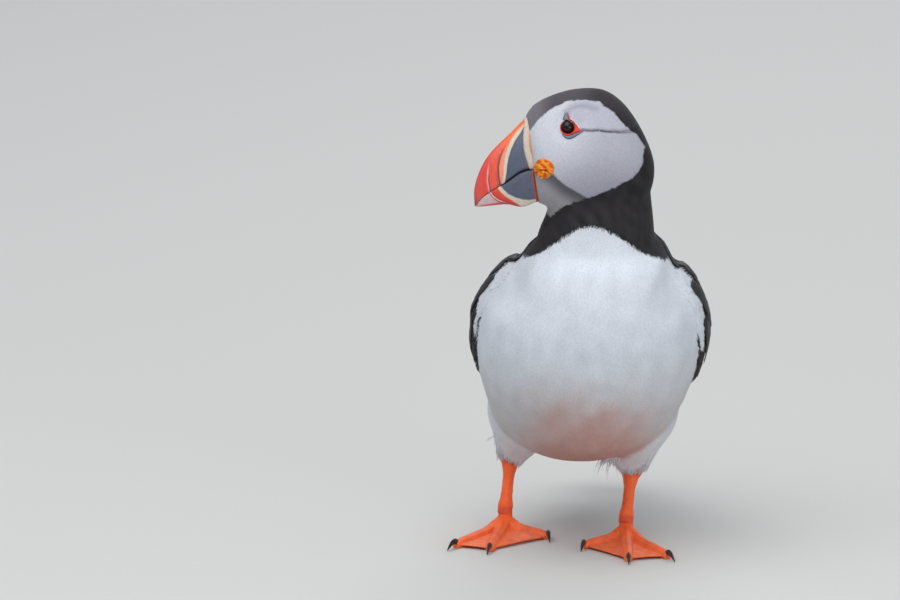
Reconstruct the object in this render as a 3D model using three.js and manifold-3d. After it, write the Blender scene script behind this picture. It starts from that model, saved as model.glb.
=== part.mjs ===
// Atlantic puffin, life size, standing upright with its head turned to its own right.
// Millimetres, +Z up. The body faces -Y, so its right side is at -X. The origin is on the floor,
// under the middle of the whole bird.
import * as THREE from "three";
import { mergeVertices } from "three/addons/utils/BufferGeometryUtils.js";
import Module from "manifold-3d";

const wasm = await Module();
wasm.setup();

// ---- Driving dimensions ----
const GAP = 0.3; // clearance between neighbouring pieces
const SKULL = new THREE.Vector3(3.3, -26.8, 195.5); // centre of the head
const HEAD_TURN = 75; // degrees from the body's heading, to the bird's right
const HEAD_RAISE = 2.2; // degrees, the bill above level
const HEAD_TILT = 8; // degrees, the left cheek turned up
const BODY_LEAN = 5; // degrees, the top of the trunk towards the bird's left
const LEAN_HEIGHT = 92; // the height at which the lean shifts nothing
const EYE_RADIUS = 4.2;
const EYE_PROUD = 1.3; // how far the eyeball stands out of the head
const EYE = { ahead: 13.9, above: 11 }; // from the skull's centre
const ROSETTE = { ahead: 25, above: -8.2, radius: 4.9, thick: 2.4 };
const TOE_RADIUS = 2.9;
const WEB_HALF = 0.6; // half the thickness of a web
const CLAW_RADIUS = 1.7;
const CLAW_LENGTH = 7.5;
const CLAW_TURN = { inner: 0.75, middle: 0, outer: 0.15 }; // share of the way to the middle toe's heading

// The trunk, from the tail's root to the neck: [y, z] of back and belly, and half the width.
const TRUNK = [
  { back: [69, 66], belly: [66, 58], half: 12 },
  { back: [61, 78], belly: [48, 51], half: 27.5 },
  { back: [52, 91], belly: [29, 43.5], half: 36 },
  { back: [42, 105], belly: [6, 40.5], half: 43 },
  { back: [32.5, 118], belly: [-18, 45], half: 47.5 },
  { back: [24, 128.5], belly: [-39, 60.5], half: 50.5 },
  { back: [16.5, 137], belly: [-54, 84], half: 51.5 },
  { back: [10.5, 144], belly: [-60, 110], half: 48.5 },
  { back: [5, 150.5], belly: [-57, 131], half: 37.5 },
  { back: [-2, 157], belly: [-50, 146], half: 26.5 },
  { back: [-9, 162], belly: [-44, 154], half: 18 },
];
const TAIL = [
  { back: [108, 33.5], belly: [107.5, 32], half: 9 },
  { back: [103, 38], belly: [101.5, 34.5], half: 18.5 },
  { back: [88, 50], belly: [85, 44], half: 17.5 },
  { back: [73, 62], belly: [69, 53.5], half: 15.5 },
  { back: [61, 72], belly: [55, 60], half: 13 },
];
// The wings lie on the trunk's front stations, then on these, which clear the rump and the tail.
const RUMP = [
  { back: [108, 36.5], belly: [101, 27], half: 14 },
  { back: [96, 46.5], belly: [86, 33], half: 19 },
  { back: [82, 59.5], belly: [69, 41], half: 24 },
  { back: [71, 71], belly: [51, 44], half: 30 },
  { back: [59, 84.5], belly: [33, 43], half: 37 },
  { back: [47, 99.5], belly: [12, 41.5], half: 43.5 },
];
// The neck column: its middle, and half its size across and fore and aft.
const NECK = [
  { at: [3.2, -25, 140], across: 27, deep: 20 },
  { at: [3.8, -25.5, 148], across: 27.5, deep: 23 },
  { at: [5, -26, 157], across: 26, deep: 23.5 },
  { at: [6.6, -26.5, 167], across: 24.6, deep: 22 },
  { at: [7, -26.5, 178], across: 22.5, deep: 20 },
  { at: [6, -26.5, 186], across: 18, deep: 16 },
];
// The head, from nape to bill: [ahead, above] of its top and underside, and half its width.
const HEAD = [
  { top: [-28.5, -7], under: [-28.2, -12], half: 3 },
  { top: [-26.5, 0], under: [-26, -20], half: 12 },
  { top: [-21, 11.4], under: [-21, -25.5], half: 17.5 },
  { top: [-13.5, 21.6], under: [-13, -28.5], half: 20.5 },
  { top: [-4, 27.9], under: [-4, -29.5], half: 21.5 },
  { top: [8, 27.9], under: [5, -29.5], half: 20.3 },
  { top: [17, 25.8], under: [13, -28.8], half: 17.3 },
  { top: [24.2, 22.6], under: [19, -27.6], half: 14.6 },
  { top: [29.2, 18.8], under: [23.5, -26], half: 11.2 },
  { top: [31.6, 14.9], under: [26.5, -24.2], half: 7.6 },
];
// Side view of the bill, [ahead, above] of the skull's centre, from the face to the tip.
const CULMEN = [[31.6, 14.6], [38.7, 7.6], [47.6, -1.2], [52.6, -9.1], [55.4, -18], [55.2, -26.5]];
const GAPE = [[29, -8.6], [35, -10.4], [41, -14.8], [46.6, -18.4], [51.6, -22], [54.6, -25.9]];
const GONYS = [[27, -24.6], [33, -26.7], [40, -25.6], [46, -26], [51, -26.5], [54.2, -26.7]];
const BILL_HALF = [8.4, 7.6, 6.2, 4.6, 3, 1.2]; // half the bill's width along those points
const RIDGE_SHARE = 0.32; // the culmen's width as a share of the width at the gape

// The wing on the trunk, from wrist to tip: how far along the bed of trunk and tail it lies
// (1 at the neck), the degrees from the back at its upper and lower edges, and its thickness.
const WING = [
  { along: 0.822, upper: 80, lower: 89, thick: 1.6 },
  { along: 0.808, upper: 69, lower: 95, thick: 3.2 },
  { along: 0.772, upper: 52, lower: 98, thick: 4.5 },
  { along: 0.715, upper: 37, lower: 99, thick: 5 },
  { along: 0.64, upper: 26, lower: 99, thick: 5 },
  { along: 0.57, upper: 19, lower: 98, thick: 5.2 },
  { along: 0.49, upper: 12, lower: 95, thick: 5.2 },
  { along: 0.41, upper: 7, lower: 89, thick: 5 },
  { along: 0.32, upper: 4, lower: 80, thick: 4.2 },
  { along: 0.23, upper: 4, lower: 69, thick: 3.2 },
  { along: 0.15, upper: 6, lower: 56, thick: 2.4 },
  { along: 0.09, upper: 16, lower: 40, thick: 1.6 },
];

// Each leg: the toe joint and the ankle, and where each toe ends, on the floor.
const LEGS = {
  right: {
    hip: [-27, 10, 68],
    ankle: [-39.2, 28.7, 35],
    joint: [-41.4, 22.5, 10],
    toes: { inner: [-19.8, 8.3], middle: [-45.1, -18], outer: [-61.7, -12.4] },
  },
  left: {
    hip: [20, 8, 66],
    ankle: [18.6, 17, 32.5],
    joint: [16.6, 8.8, 10],
    toes: { inner: [-1.8, -8.2], middle: [20.8, -31.3], outer: [38.8, -24.7] },
  },
};
const SHANK = [ // half sizes from the toe joint up to the ankle: across, and fore and aft
  { up: -0.06, across: 4.3, deep: 4 },
  { up: 0.08, across: 4.6, deep: 4.6 },
  { up: 0.22, across: 3.5, deep: 4.2 },
  { up: 0.6, across: 3.3, deep: 4.1 },
  { up: 0.84, across: 4, deep: 4.6 },
  { up: 1, across: 5.3, deep: 5.4 },
  { up: 1.2, across: 4.6, deep: 4.8 },
  { up: 1.32, across: 3, deep: 3.2 },
];
const THIGH_RADII = [22, 20.5, 16.5, 11.5, 8]; // from the hip down to the feathers' hem
const THIGH_REACH = 0.9; // how far down towards the ankle the hem comes

const COLOURS = {
  black: 0x1b1a1c, white: 0xe9eef4, grey: 0xb9bcc8, orange: 0xe65a24, claw: 0x2b2a30,
  red: 0xd9483a, slate: 0x5b6577, yellow: 0xf09a18, eye: 0x0d0a0b,
};

// ---- Helpers ----
const rad = THREE.MathUtils.degToRad;
const clamp = THREE.MathUtils.clamp;

// A smooth curve through one point, or one size, of each station.
function through(stations, pick) {
  const points = stations.map((s) => new THREE.Vector3(...pick(s)));
  return new THREE.CatmullRomCurve3(points, false, "catmullrom", 0.5);
}

// A sphere's parallels become rings at along = 0 to 1, and its poles their flat or rounded ends.
function sweep(place, around, rings) {
  const ball = new THREE.SphereGeometry(1, around, rings);
  const spot = ball.attributes.position;
  for (let i = 0; i < spot.count; i++) {
    const row = Math.floor(i / (around + 1));
    const turn = (2 * Math.PI * (i % (around + 1))) / around;
    const along = clamp((row - 1) / (rings - 2), 0, 1);
    const isPole = row === 0 || row === rings;
    const p = isPole
      ? place(along, 0).add(place(along, Math.PI)).multiplyScalar(0.5)
      : place(along, turn);
    spot.setXYZ(i, p.x, p.y, p.z);
  }
  return ball;
}

// The closed geometry as a manifold-3d solid, with its faces pointing out.
function solid(geometry) {
  const bare = geometry.clone();
  bare.deleteAttribute("normal");
  bare.deleteAttribute("uv");
  const merged = mergeVertices(bare, 1e-3);
  const spots = merged.attributes.position;
  const corners = new Uint32Array(merged.index.array);
  const [a, b, c] = [new THREE.Vector3(), new THREE.Vector3(), new THREE.Vector3()];
  let volume = 0;
  for (let i = 0; i < corners.length; i += 3) {
    a.fromBufferAttribute(spots, corners[i]);
    b.fromBufferAttribute(spots, corners[i + 1]);
    c.fromBufferAttribute(spots, corners[i + 2]);
    volume += a.dot(b.cross(c));
  }
  if (volume < 0)
    for (let i = 0; i < corners.length; i += 3)
      [corners[i + 1], corners[i + 2]] = [corners[i + 2], corners[i + 1]];
  return new wasm.Manifold(
    new wasm.Mesh({ numProp: 3, vertProperties: spots.array, triVerts: corners }),
  );
}

// The largest connected body of a cut solid, without its crumbs.
function largest(cut) {
  return cut.decompose().sort((p, q) => q.volume() - p.volume())[0];
}

function node(name, shape, colour, roughness = 0.8) {
  const made = largest(shape).getMesh();
  const geometry = new THREE.BufferGeometry();
  const spots = new Float32Array(made.numVert * 3);
  for (let i = 0; i < made.numVert; i++)
    spots.set(made.vertProperties.subarray(i * made.numProp, i * made.numProp + 3), i * 3);
  geometry.setAttribute("position", new THREE.BufferAttribute(spots, 3));
  geometry.setIndex(new THREE.BufferAttribute(made.triVerts, 1));
  geometry.computeVertexNormals();
  const material = new THREE.MeshStandardMaterial({ color: colour, roughness, metalness: 0 });
  const mesh = new THREE.Mesh(geometry, material);
  mesh.name = name;
  return mesh;
}

// A limb swept along points, with half sizes across and fore and aft at each.
function limb(points, sizes, side, around = 12, rings = 12, grow = 0) {
  const line = through(points, (p) => p);
  const size = through(sizes, (s) => [s[0], s[1], 0]);
  return sweep((along, turn) => {
    const ahead = line.getTangent(along);
    const across = side.clone().addScaledVector(ahead, -side.dot(ahead)).normalize();
    const deep = new THREE.Vector3().crossVectors(ahead, across);
    const half = size.getPoint(along);
    return line
      .getPoint(along)
      .addScaledVector(across, Math.cos(turn) * (half.x + grow))
      .addScaledVector(deep, Math.sin(turn) * (half.y + grow));
  }, around, rings);
}

function aboveFloor() {
  const room = new THREE.BoxGeometry(400, 400, 400);
  return solid(room.translate(0, 0, 200));
}

// ---- Trunk, tail and wings ----
function lean(p) {
  const high = p.z - LEAN_HEIGHT;
  p.x = p.x * Math.cos(rad(BODY_LEAN)) + high * Math.sin(rad(BODY_LEAN));
  return p;
}

// The upright surface through the stations: turn is 0 at the bird's left and 90 degrees at its back.
function bed(stations, fullness = 1) {
  const back = through(stations, (s) => [0, ...s.back]);
  const belly = through(stations, (s) => [0, ...s.belly]);
  const half = through(stations, (s) => [s.half, 0, 0]);
  return (along, turn, grow = 0) => {
    const top = back.getPoint(along);
    const bottom = belly.getPoint(along);
    const rise = top.clone().sub(bottom).multiplyScalar(0.5);
    const [c, s] = [Math.cos(turn), Math.sin(turn)];
    const up = Math.sign(s) * Math.abs(s) ** fullness;
    const out = Math.sign(c) * Math.abs(c) ** fullness;
    const p = top.add(bottom).multiplyScalar(0.5);
    p.addScaledVector(rise, up * (1 + grow / rise.length()));
    p.x += (Math.max(half.getPoint(along).x, 0.5) + grow) * out;
    return p;
  };
}

const trunkBed = bed(TRUNK, 0.94);
const tailBed = bed(TAIL, 0.85);
const wingBed = bed([...RUMP, ...TRUNK.slice(4)], 0.94);

function trunkSolid(grow = 0) {
  return solid(sweep((along, turn) => lean(trunkBed(along, turn, grow)), 28, 18));
}

function tailSolid(grow = 0) {
  return solid(sweep((along, turn) => lean(tailBed(along, turn, grow)), 14, 8));
}

// A wing: a lens over its stretch of the bed, flat underneath and as thick as the folded feathers.
function wingSolid(side, grow = 0) {
  const where = through(WING, (w) => [w.along, w.upper, w.lower]);
  const depth = through(WING, (w) => [w.thick, 0, 0]);
  const step = 1e-3;
  return solid(sweep((along, turn) => {
    const { x: bedAlong, y: upper, z: lower } = where.getPoint(along);
    const share = 0.5 - 0.5 * Math.cos(turn);
    const wider = 2 * grow * (share - 0.5);
    const angle = rad(90 - (upper + (lower - upper) * share + wider));
    const height = (depth.getPoint(along).x + grow) * Math.max(Math.sin(turn), 0) ** 0.6;
    const p = wingBed(bedAlong, angle, 0);
    const across = wingBed(bedAlong, angle + step).sub(p);
    const onward = wingBed(bedAlong + step, angle).sub(p);
    const out = across.cross(onward).normalize();
    if (out.dot(new THREE.Vector3(Math.cos(angle), 0, Math.sin(angle))) < 0) out.negate();
    const sunk = 3 * Math.max(-Math.sin(turn), 0);
    p.addScaledVector(out, GAP + height - sunk);
    p.x *= side;
    return lean(p);
  }, 18, 18));
}

// ---- Neck and head ----
function neckSolid(grow = 0) {
  const points = NECK.map((s) => s.at);
  const sizes = NECK.map((s) => [s.across, s.deep]);
  return solid(limb(points, sizes, new THREE.Vector3(1, 0, 0), 24, 8, grow));
}

// Head axes: ahead along the bill, left out of the left cheek, above out of the crown.
const POSE = new THREE.Euler(rad(HEAD_TILT), rad(-HEAD_RAISE), rad(270 - HEAD_TURN), "ZYX");
const AHEAD = new THREE.Vector3(1, 0, 0).applyEuler(POSE);
const LEFT = new THREE.Vector3(0, 1, 0).applyEuler(POSE);
const ABOVE = new THREE.Vector3(0, 0, 1).applyEuler(POSE);

function inHead(ahead, left, above) {
  return SKULL.clone()
    .addScaledVector(AHEAD, ahead)
    .addScaledVector(LEFT, left)
    .addScaledVector(ABOVE, above);
}

const headTop = through(HEAD, (s) => [s.top[0], 0, s.top[1]]);
const headUnder = through(HEAD, (s) => [s.under[0], 0, s.under[1]]);
const headHalf = through(HEAD, (s) => [s.half, 0, 0]);
const CROWN_NARROWING = 0.2; // the head is this much narrower at the crown, and wider at the cheek

// A point of the head's surface in head axes: x ahead, y left, z above.
function headPoint(along, turn, grow = 0) {
  const [c, s] = [Math.cos(turn), Math.sin(turn)];
  const top = headTop.getPoint(along);
  const under = headUnder.getPoint(along);
  const rise = top.clone().sub(under).multiplyScalar(0.5);
  const p = top.add(under).multiplyScalar(0.5);
  p.addScaledVector(rise, s * (1 + grow / rise.length()));
  const wide = (headHalf.getPoint(along).x + grow) * (1 - CROWN_NARROWING * s);
  p.y = Math.sign(c) * Math.abs(c) ** 0.9 * wide;
  return p;
}

function headSolid(grow = 0) {
  return solid(sweep((along, turn) => inHead(...headPoint(along, turn, grow)), 28, 18));
}

// Where the head's side lies at a place in side view: half the head's width there.
function headSide(ahead, above) {
  let nearest = { miss: Infinity, half: 0 };
  for (let along = 0; along <= 1; along += 0.005)
    for (let turn = -1.5; turn <= 1.5; turn += 0.02) {
      const p = headPoint(along, turn);
      const miss = Math.hypot(p.x - ahead, p.z - above);
      if (miss < nearest.miss) nearest = { miss, half: p.y };
    }
  return nearest.half;
}

// An oval button on the side of the head, turned by tilt degrees in side view.
function button(at, side, length, height, thick, tilt = 0) {
  const ball = new THREE.SphereGeometry(1, 12, 6).scale(length, thick, height);
  ball.rotateY(rad(tilt));
  const axes = new THREE.Matrix4().makeBasis(AHEAD, LEFT, ABOVE);
  const out = headSide(at.ahead, at.above) * side;
  ball.applyMatrix4(axes.setPosition(inHead(at.ahead, out, at.above)));
  return solid(ball);
}

function eyeSolid(side, grow = 0) {
  const ball = new THREE.SphereGeometry(EYE_RADIUS + grow, 14, 8);
  const out = (headSide(EYE.ahead, EYE.above) + EYE_PROUD - EYE_RADIUS) * side;
  const middle = inHead(EYE.ahead, out, EYE.above);
  return solid(ball.translate(middle.x, middle.y, middle.z));
}

// ---- Bill ----
// One mandible between its outer edge and the gape, closed by rounding both edges of each rib.
function mandible(outer, inner, outerShare) {
  const edge = through(outer, (p) => [p[0], 0, p[1]]);
  const lips = through(inner, (p) => [p[0], 0, p[1]]);
  const wide = through(BILL_HALF, (w) => [w, 0, 0]);
  return solid(sweep((along, turn) => {
    const down = 0.5 - 0.5 * Math.cos(turn);
    const p = edge.getPoint(along).lerp(lips.getPoint(along), down);
    const narrow = outerShare + (1 - outerShare) * down ** 0.8;
    const round = Math.sign(Math.sin(turn)) * Math.abs(Math.sin(turn)) ** 0.5;
    return inHead(p.x, wide.getPoint(along).x * narrow * round, p.z);
  }, 14, 12));
}

function shifted(points, up) {
  return points.map(([ahead, above]) => [ahead, above + up]);
}

// ---- Legs ----
function thighSolid(leg, grow = 0) {
  const hip = new THREE.Vector3(...leg.hip);
  const ankle = new THREE.Vector3(...leg.ankle);
  const points = THIGH_RADII.map((_, i) =>
    hip.clone().lerp(ankle, (THIGH_REACH * i) / (THIGH_RADII.length - 1)).toArray());
  const sizes = THIGH_RADII.map((r) => [r, r * 1.05]);
  return solid(limb(points, sizes, new THREE.Vector3(1, 0, 0), 16, 8, grow));
}

function shankSolid(leg) {
  const joint = new THREE.Vector3(...leg.joint);
  const ankle = new THREE.Vector3(...leg.ankle);
  const points = SHANK.map((s) => joint.clone().lerp(ankle, s.up).toArray());
  const sizes = SHANK.map((s) => [s.across, s.deep]);
  return solid(limb(points, sizes, new THREE.Vector3(1, 0, 0), 10, 9));
}

// A toe's centre line: down from the joint, then along the floor to its end.
function toeLine(leg, end) {
  const joint = new THREE.Vector3(...leg.joint).setZ(leg.joint[2] - 3);
  const tip = new THREE.Vector3(end[0], end[1], TOE_RADIUS * 0.72);
  const at = (share, height) => joint.clone().lerp(tip, share).setZ(height).toArray();
  return [at(0, 6.2), at(0.16, 4), at(0.34, 2.4), at(0.56, 2.1), at(0.78, 1.95), at(1, 1.6)];
}

function toeSolid(line, grow = 0) {
  const radii = [3.6, 3.3, 2.9, 2.75, 2.6, 1.9];
  const flat = line.map(([x, y]) => new THREE.Vector2(x, y));
  const heading = flat.at(-1).clone().sub(flat[0]).normalize();
  const side = new THREE.Vector3(heading.y, -heading.x, 0);
  return solid(limb(line, radii.map((r) => [r, r * 0.95]), side, 8, 8, grow));
}

// The web between two toes: a thin sheet ruled between their centre lines, hollow at its front edge.
function webSolid(lineA, lineB) {
  const a = through(lineA, (p) => p);
  const b = through(lineB, (p) => p);
  const first = 0.06;
  return solid(sweep((along, turn) => {
    const share = 0.5 - 0.5 * Math.cos(turn);
    const hollow = 0.09 * Math.sin(Math.PI * share);
    const reach = first + (0.97 - first - hollow) * along;
    const p = a.getPoint(reach).lerp(b.getPoint(reach), share);
    const sag = 0.8 * Math.sin(Math.PI * share) * along;
    const high = Math.max(p.z - sag, WEB_HALF + 0.25);
    p.z = high + Math.sign(Math.sin(turn)) * WEB_HALF * Math.abs(Math.sin(turn)) ** 0.3;
    return p;
  }, 14, 6));
}

function headingOf(line) {
  const end = new THREE.Vector3(...line.at(-1));
  return end.sub(new THREE.Vector3(...line[3])).setZ(0).normalize();
}

function clawSolid(line, towards, turn) {
  const end = new THREE.Vector3(...line.at(-1));
  const heading = headingOf(line).lerp(headingOf(towards), turn).normalize();
  const at = (reach, height) => end.clone().addScaledVector(heading, reach).setZ(height).toArray();
  const points = [
    at(-1.5, 2.2), at(CLAW_LENGTH * 0.25, 2.8), at(CLAW_LENGTH * 0.6, 2.1), at(CLAW_LENGTH, 0.5),
  ];
  const sizes = [1, 0.95, 0.62, 0.2].map((s) => [CLAW_RADIUS * 0.8 * s, CLAW_RADIUS * s]);
  const side = new THREE.Vector3(heading.y, -heading.x, 0);
  return solid(limb(points, sizes, side, 8, 5)).subtract(toeSolid(line, GAP));
}

function legNodes(side, floorUp) {
  const leg = LEGS[side];
  const lines = Object.fromEntries(
    Object.entries(leg.toes).map(([toe, end]) => [toe, toeLine(leg, end)]));
  const { inner, middle, outer } = lines;
  const foot = (grow) =>
    [inner, middle, outer]
      .map((line) => toeSolid(line, grow))
      .reduce((whole, piece) => whole.add(piece));
  const webs = webSolid(inner, middle).add(webSolid(middle, outer));
  const wing = wingSolid(side === "left" ? 1 : -1, GAP);
  const thigh = thighSolid(leg).subtract(trunkSolid(GAP)).subtract(wing);
  const nodes = [
    node(`thigh_${side}`, thigh, COLOURS.white),
    node(`foot_${side}`, foot(0).add(webs).intersect(floorUp), COLOURS.orange, 0.55),
    node(`shank_${side}`,
      shankSolid(leg).subtract(foot(GAP)).subtract(thighSolid(leg, GAP)), COLOURS.orange, 0.55),
  ];
  for (const [toe, line] of Object.entries(lines)) {
    const claw = clawSolid(line, middle, CLAW_TURN[toe]).intersect(floorUp);
    nodes.push(node(`claw_${side}_${toe}`, claw, COLOURS.claw, 0.4));
  }
  return nodes;
}

// ---- The bird ----
function headNodes() {
  const eyes = eyeSolid(1, GAP).add(eyeSolid(-1, GAP));
  const upper = mandible(CULMEN, shifted(GAPE, GAP / 2), RIDGE_SHARE);
  const lower = mandible(GONYS, shifted(GAPE, -GAP / 2), 0.7);
  const grownHead = headSolid(GAP);
  const nodes = [
    node("head", headSolid().subtract(eyes), COLOURS.grey),
    node("neck", neckSolid().subtract(grownHead).subtract(trunkSolid(GAP)), COLOURS.black),
    node("bill_upper", upper.subtract(grownHead), COLOURS.red, 0.4),
    node("bill_lower", lower.subtract(grownHead).subtract(neckSolid(GAP)), COLOURS.red, 0.4),
  ];
  for (const [side, sign] of [["left", 1], ["right", -1]]) {
    const bare = (shape) => shape.subtract(grownHead).subtract(eyeSolid(sign, GAP));
    const brow = button({ ahead: EYE.ahead + 0.8, above: EYE.above + 4.9 }, sign, 1.6, 2.2, 1, 8);
    const under = button({ ahead: EYE.ahead - 2.2, above: EYE.above - 3.7 }, sign, 3.9, 1, 1, 15);
    const rosette = button(ROSETTE, sign, ROSETTE.radius, ROSETTE.radius, ROSETTE.thick);
    nodes.push(
      node(`eye_${side}`, eyeSolid(sign), COLOURS.eye, 0.1),
      node(`brow_plate_${side}`, bare(brow), COLOURS.slate),
      node(`lower_plate_${side}`, bare(under), COLOURS.slate),
      node(`rosette_${side}`, bare(rosette).subtract(upper).subtract(lower), COLOURS.yellow),
    );
  }
  return nodes;
}

function bodyNodes() {
  const grownTrunk = trunkSolid(GAP);
  const grownTail = tailSolid(GAP);
  const wing = (side) => wingSolid(side).subtract(grownTrunk).subtract(grownTail);
  const neckRoom = neckSolid(GAP);
  return [
    node("trunk", trunkSolid(), COLOURS.white),
    node("tail", tailSolid().subtract(grownTrunk), COLOURS.black),
    node("wing_left", wing(1).subtract(neckRoom), COLOURS.black),
    node("wing_right", wing(-1).subtract(neckRoom), COLOURS.black),
  ];
}

const bird = new THREE.Group();
const floorUp = aboveFloor();
bird.add(...headNodes(), ...bodyNodes());
for (const side of ["left", "right"]) bird.add(...legNodes(side, floorUp));

const extent = new THREE.Box3().setFromObject(bird);
const middle = extent.getCenter(new THREE.Vector3());
bird.position.set(-middle.x, -middle.y, -extent.min.z);

const puffin = new THREE.Group();
puffin.name = "puffin";
puffin.add(bird);

export default puffin;
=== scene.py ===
"""Looks of a life-size Atlantic puffin: one skin, its feathers, the bill, the eyes and the feet.

Lengths are in millimetres in the bird's own frame (it faces -Y, up is +Z) until place() puts them
into the scene in metres.
"""

import math

import bmesh
import bpy
import numpy as np
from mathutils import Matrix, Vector
from mathutils.bvhtree import BVHTree
from mathutils.kdtree import KDTree


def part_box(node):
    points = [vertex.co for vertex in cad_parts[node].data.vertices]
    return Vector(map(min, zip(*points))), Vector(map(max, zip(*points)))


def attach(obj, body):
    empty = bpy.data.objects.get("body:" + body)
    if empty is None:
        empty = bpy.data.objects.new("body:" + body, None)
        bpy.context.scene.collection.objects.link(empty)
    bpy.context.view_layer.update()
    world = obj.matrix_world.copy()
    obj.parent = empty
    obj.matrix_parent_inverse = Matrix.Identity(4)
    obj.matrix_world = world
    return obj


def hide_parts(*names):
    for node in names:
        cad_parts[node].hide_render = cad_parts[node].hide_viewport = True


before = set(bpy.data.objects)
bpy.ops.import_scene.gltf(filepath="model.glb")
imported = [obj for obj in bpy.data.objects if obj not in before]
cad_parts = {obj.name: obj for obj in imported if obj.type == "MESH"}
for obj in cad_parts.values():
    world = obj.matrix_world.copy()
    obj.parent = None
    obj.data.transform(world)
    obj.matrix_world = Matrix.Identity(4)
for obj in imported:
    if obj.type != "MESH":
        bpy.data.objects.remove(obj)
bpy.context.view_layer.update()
SIDES = (("left", 1.0), ("right", -1.0))

# ---------------------------------------------------------------- frames and numbers of the solids
SKULL = np.array([3.3, -26.8, 195.5])
HEAD_TURN, HEAD_RAISE, HEAD_TILT = 75.0, 2.2, 8.0
EYE_AHEAD, EYE_ABOVE, EYE_RADIUS = 13.9, 11.0, 3.45
LID_RADIUS = 3.05
BODY_LEAN, LEAN_HEIGHT = 5.0, 92.0
GAP = 0.3
BREAST_MIDDLE = 4.4  # across, at the height of the shoulders
HEAD_BASE = 160.0  # only the head lies above this height

# back y, back z, belly y, belly z, half width
TRUNK = np.array([
    (69, 66, 66, 58, 12), (61, 78, 48, 51, 27.5), (52, 91, 29, 43.5, 36),
    (42, 105, 6, 40.5, 43), (32.5, 118, -18, 45, 47.5), (24, 128.5, -39, 60.5, 50.5),
    (16.5, 137, -54, 84, 51.5), (10.5, 144, -60, 110, 48.5), (5, 150.5, -57, 131, 37.5),
    (-2, 157, -50, 146, 26.5), (-9, 162, -44, 154, 18),
], float)
TAIL = np.array([
    (108, 33.5, 107.5, 32, 9), (103, 38, 101.5, 34.5, 18.5), (88, 50, 85, 44, 17.5),
    (73, 62, 69, 53.5, 15.5), (61, 72, 55, 60, 13),
], float)
RUMP = np.array([
    (108, 36.5, 101, 27, 14), (96, 46.5, 86, 33, 19), (82, 59.5, 69, 41, 24),
    (71, 71, 51, 44, 30), (59, 84.5, 33, 43, 37), (47, 99.5, 12, 41.5, 43.5),
], float)
WING_BED = np.vstack([RUMP, TRUNK[4:]])
# along the bed, degrees from the back at the upper and lower edges, thickness
WING = np.array([
    (0.822, 80, 89, 1.6), (0.808, 69, 95, 3.2), (0.772, 52, 98, 4.5), (0.715, 37, 99, 5),
    (0.64, 26, 99, 5), (0.57, 19, 98, 5.2), (0.49, 12, 95, 5.2), (0.41, 7, 89, 5),
    (0.32, 4, 80, 4.2), (0.23, 4, 69, 3.2), (0.15, 6, 56, 2.4), (0.09, 16, 40, 1.6),
], float)
LEGS = {
    "right": {
        "ankle": (-39.2, 28.7, 35.0), "joint": (-41.4, 22.5, 10.0),
        "toes": {"inner": (-19.8, 8.3), "middle": (-45.1, -18.0), "outer": (-61.7, -12.4)},
    },
    "left": {
        "ankle": (18.6, 17.0, 32.5), "joint": (16.6, 8.8, 10.0),
        "toes": {"inner": (-1.8, -8.2), "middle": (20.8, -31.3), "outer": (38.8, -24.7)},
    },
}
FLESH = ("head", "neck", "trunk", "tail", "wing_left", "wing_right", "thigh_left", "thigh_right")
LIMBS = ("shank_left", "foot_left", "shank_right", "foot_right")
# which columns of a point's shares are which nodes of FLESH
ON_HEAD, ON_NECK, ON_TRUNK, ON_TAIL = range(4)
ON_WINGS, ON_THIGHS = slice(4, 6), slice(6, 8)


def unit(v):
    return v / np.maximum(np.linalg.norm(v, axis=-1, keepdims=True), 1e-9)


def smooth(low, high, x):
    t = np.clip((x - low) / (high - low), 0, 1)
    return t * t * (3 - 2 * t)


def bell(x, width):
    """1 where x is 0, falling off to both sides over that width."""
    return np.exp(-((x / width) ** 2))


def mix(a, b, share):
    share = np.asarray(share, float)[..., None]
    return np.asarray(a, float) * (1 - share) + np.asarray(b, float) * share


def layered(colours, *layers):
    """Colours with layers laid over them in turn, each a colour and how much of it."""
    for colour, share in layers:
        colours = mix(colours, colour, share)
    return colours


def srgb(*rgb):
    """Linear colour of an sRGB one given as 0 to 255."""
    c = np.array(rgb, float) / 255
    return np.where(c <= 0.04045, c / 12.92, ((c + 0.055) / 1.055) ** 2.4)


def spline(points, t):
    """Uniform Catmull-Rom through the points, t from 0 to 1."""
    p = np.asarray(points, float)
    ends = np.vstack([2 * p[0] - p[1], p, 2 * p[-1] - p[-2]])
    x = np.clip(np.asarray(t, float), 0, 1) * (len(p) - 1)
    i = np.minimum(x.astype(int), len(p) - 2)
    f = (x - i)[..., None]
    a, b, c, d = ends[i], ends[i + 1], ends[i + 2], ends[i + 3]
    return 0.5 * (2 * b + (c - a) * f + (2 * a - 5 * b + 4 * c - d) * f**2 + (3 * b - a - 3 * c + d) * f**3)


def turn_about(axis, degrees):
    c, s = math.cos(math.radians(degrees)), math.sin(math.radians(degrees))
    i, j = [(1, 2), (2, 0), (0, 1)][axis]
    m = np.eye(3)
    m[i, i] = m[j, j] = c
    m[i, j], m[j, i] = -s, s
    return m


HEAD = turn_about(2, 270 - HEAD_TURN) @ turn_about(1, -HEAD_RAISE) @ turn_about(0, HEAD_TILT)
AHEAD, LEFT, ABOVE = HEAD.T


def in_head(p):
    """Head axes of points: ahead of the skull's centre, out of the left cheek, above."""
    return (p - SKULL) @ HEAD


def from_head(h):
    return SKULL + np.asarray(h, float) @ HEAD.T


def eye_middle():
    boxes = [np.array(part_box(f"eye_{side}")) for side, _ in SIDES]
    return 1000 * np.mean(boxes, axis=(0, 1))


# How far the solids' frame is shifted from the bird's own
SHIFT = eye_middle() - from_head((EYE_AHEAD, 0, EYE_ABOVE))


def place(p):
    """Points of the bird's own frame in the scene's."""
    return (p + SHIFT) * 0.001


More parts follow.
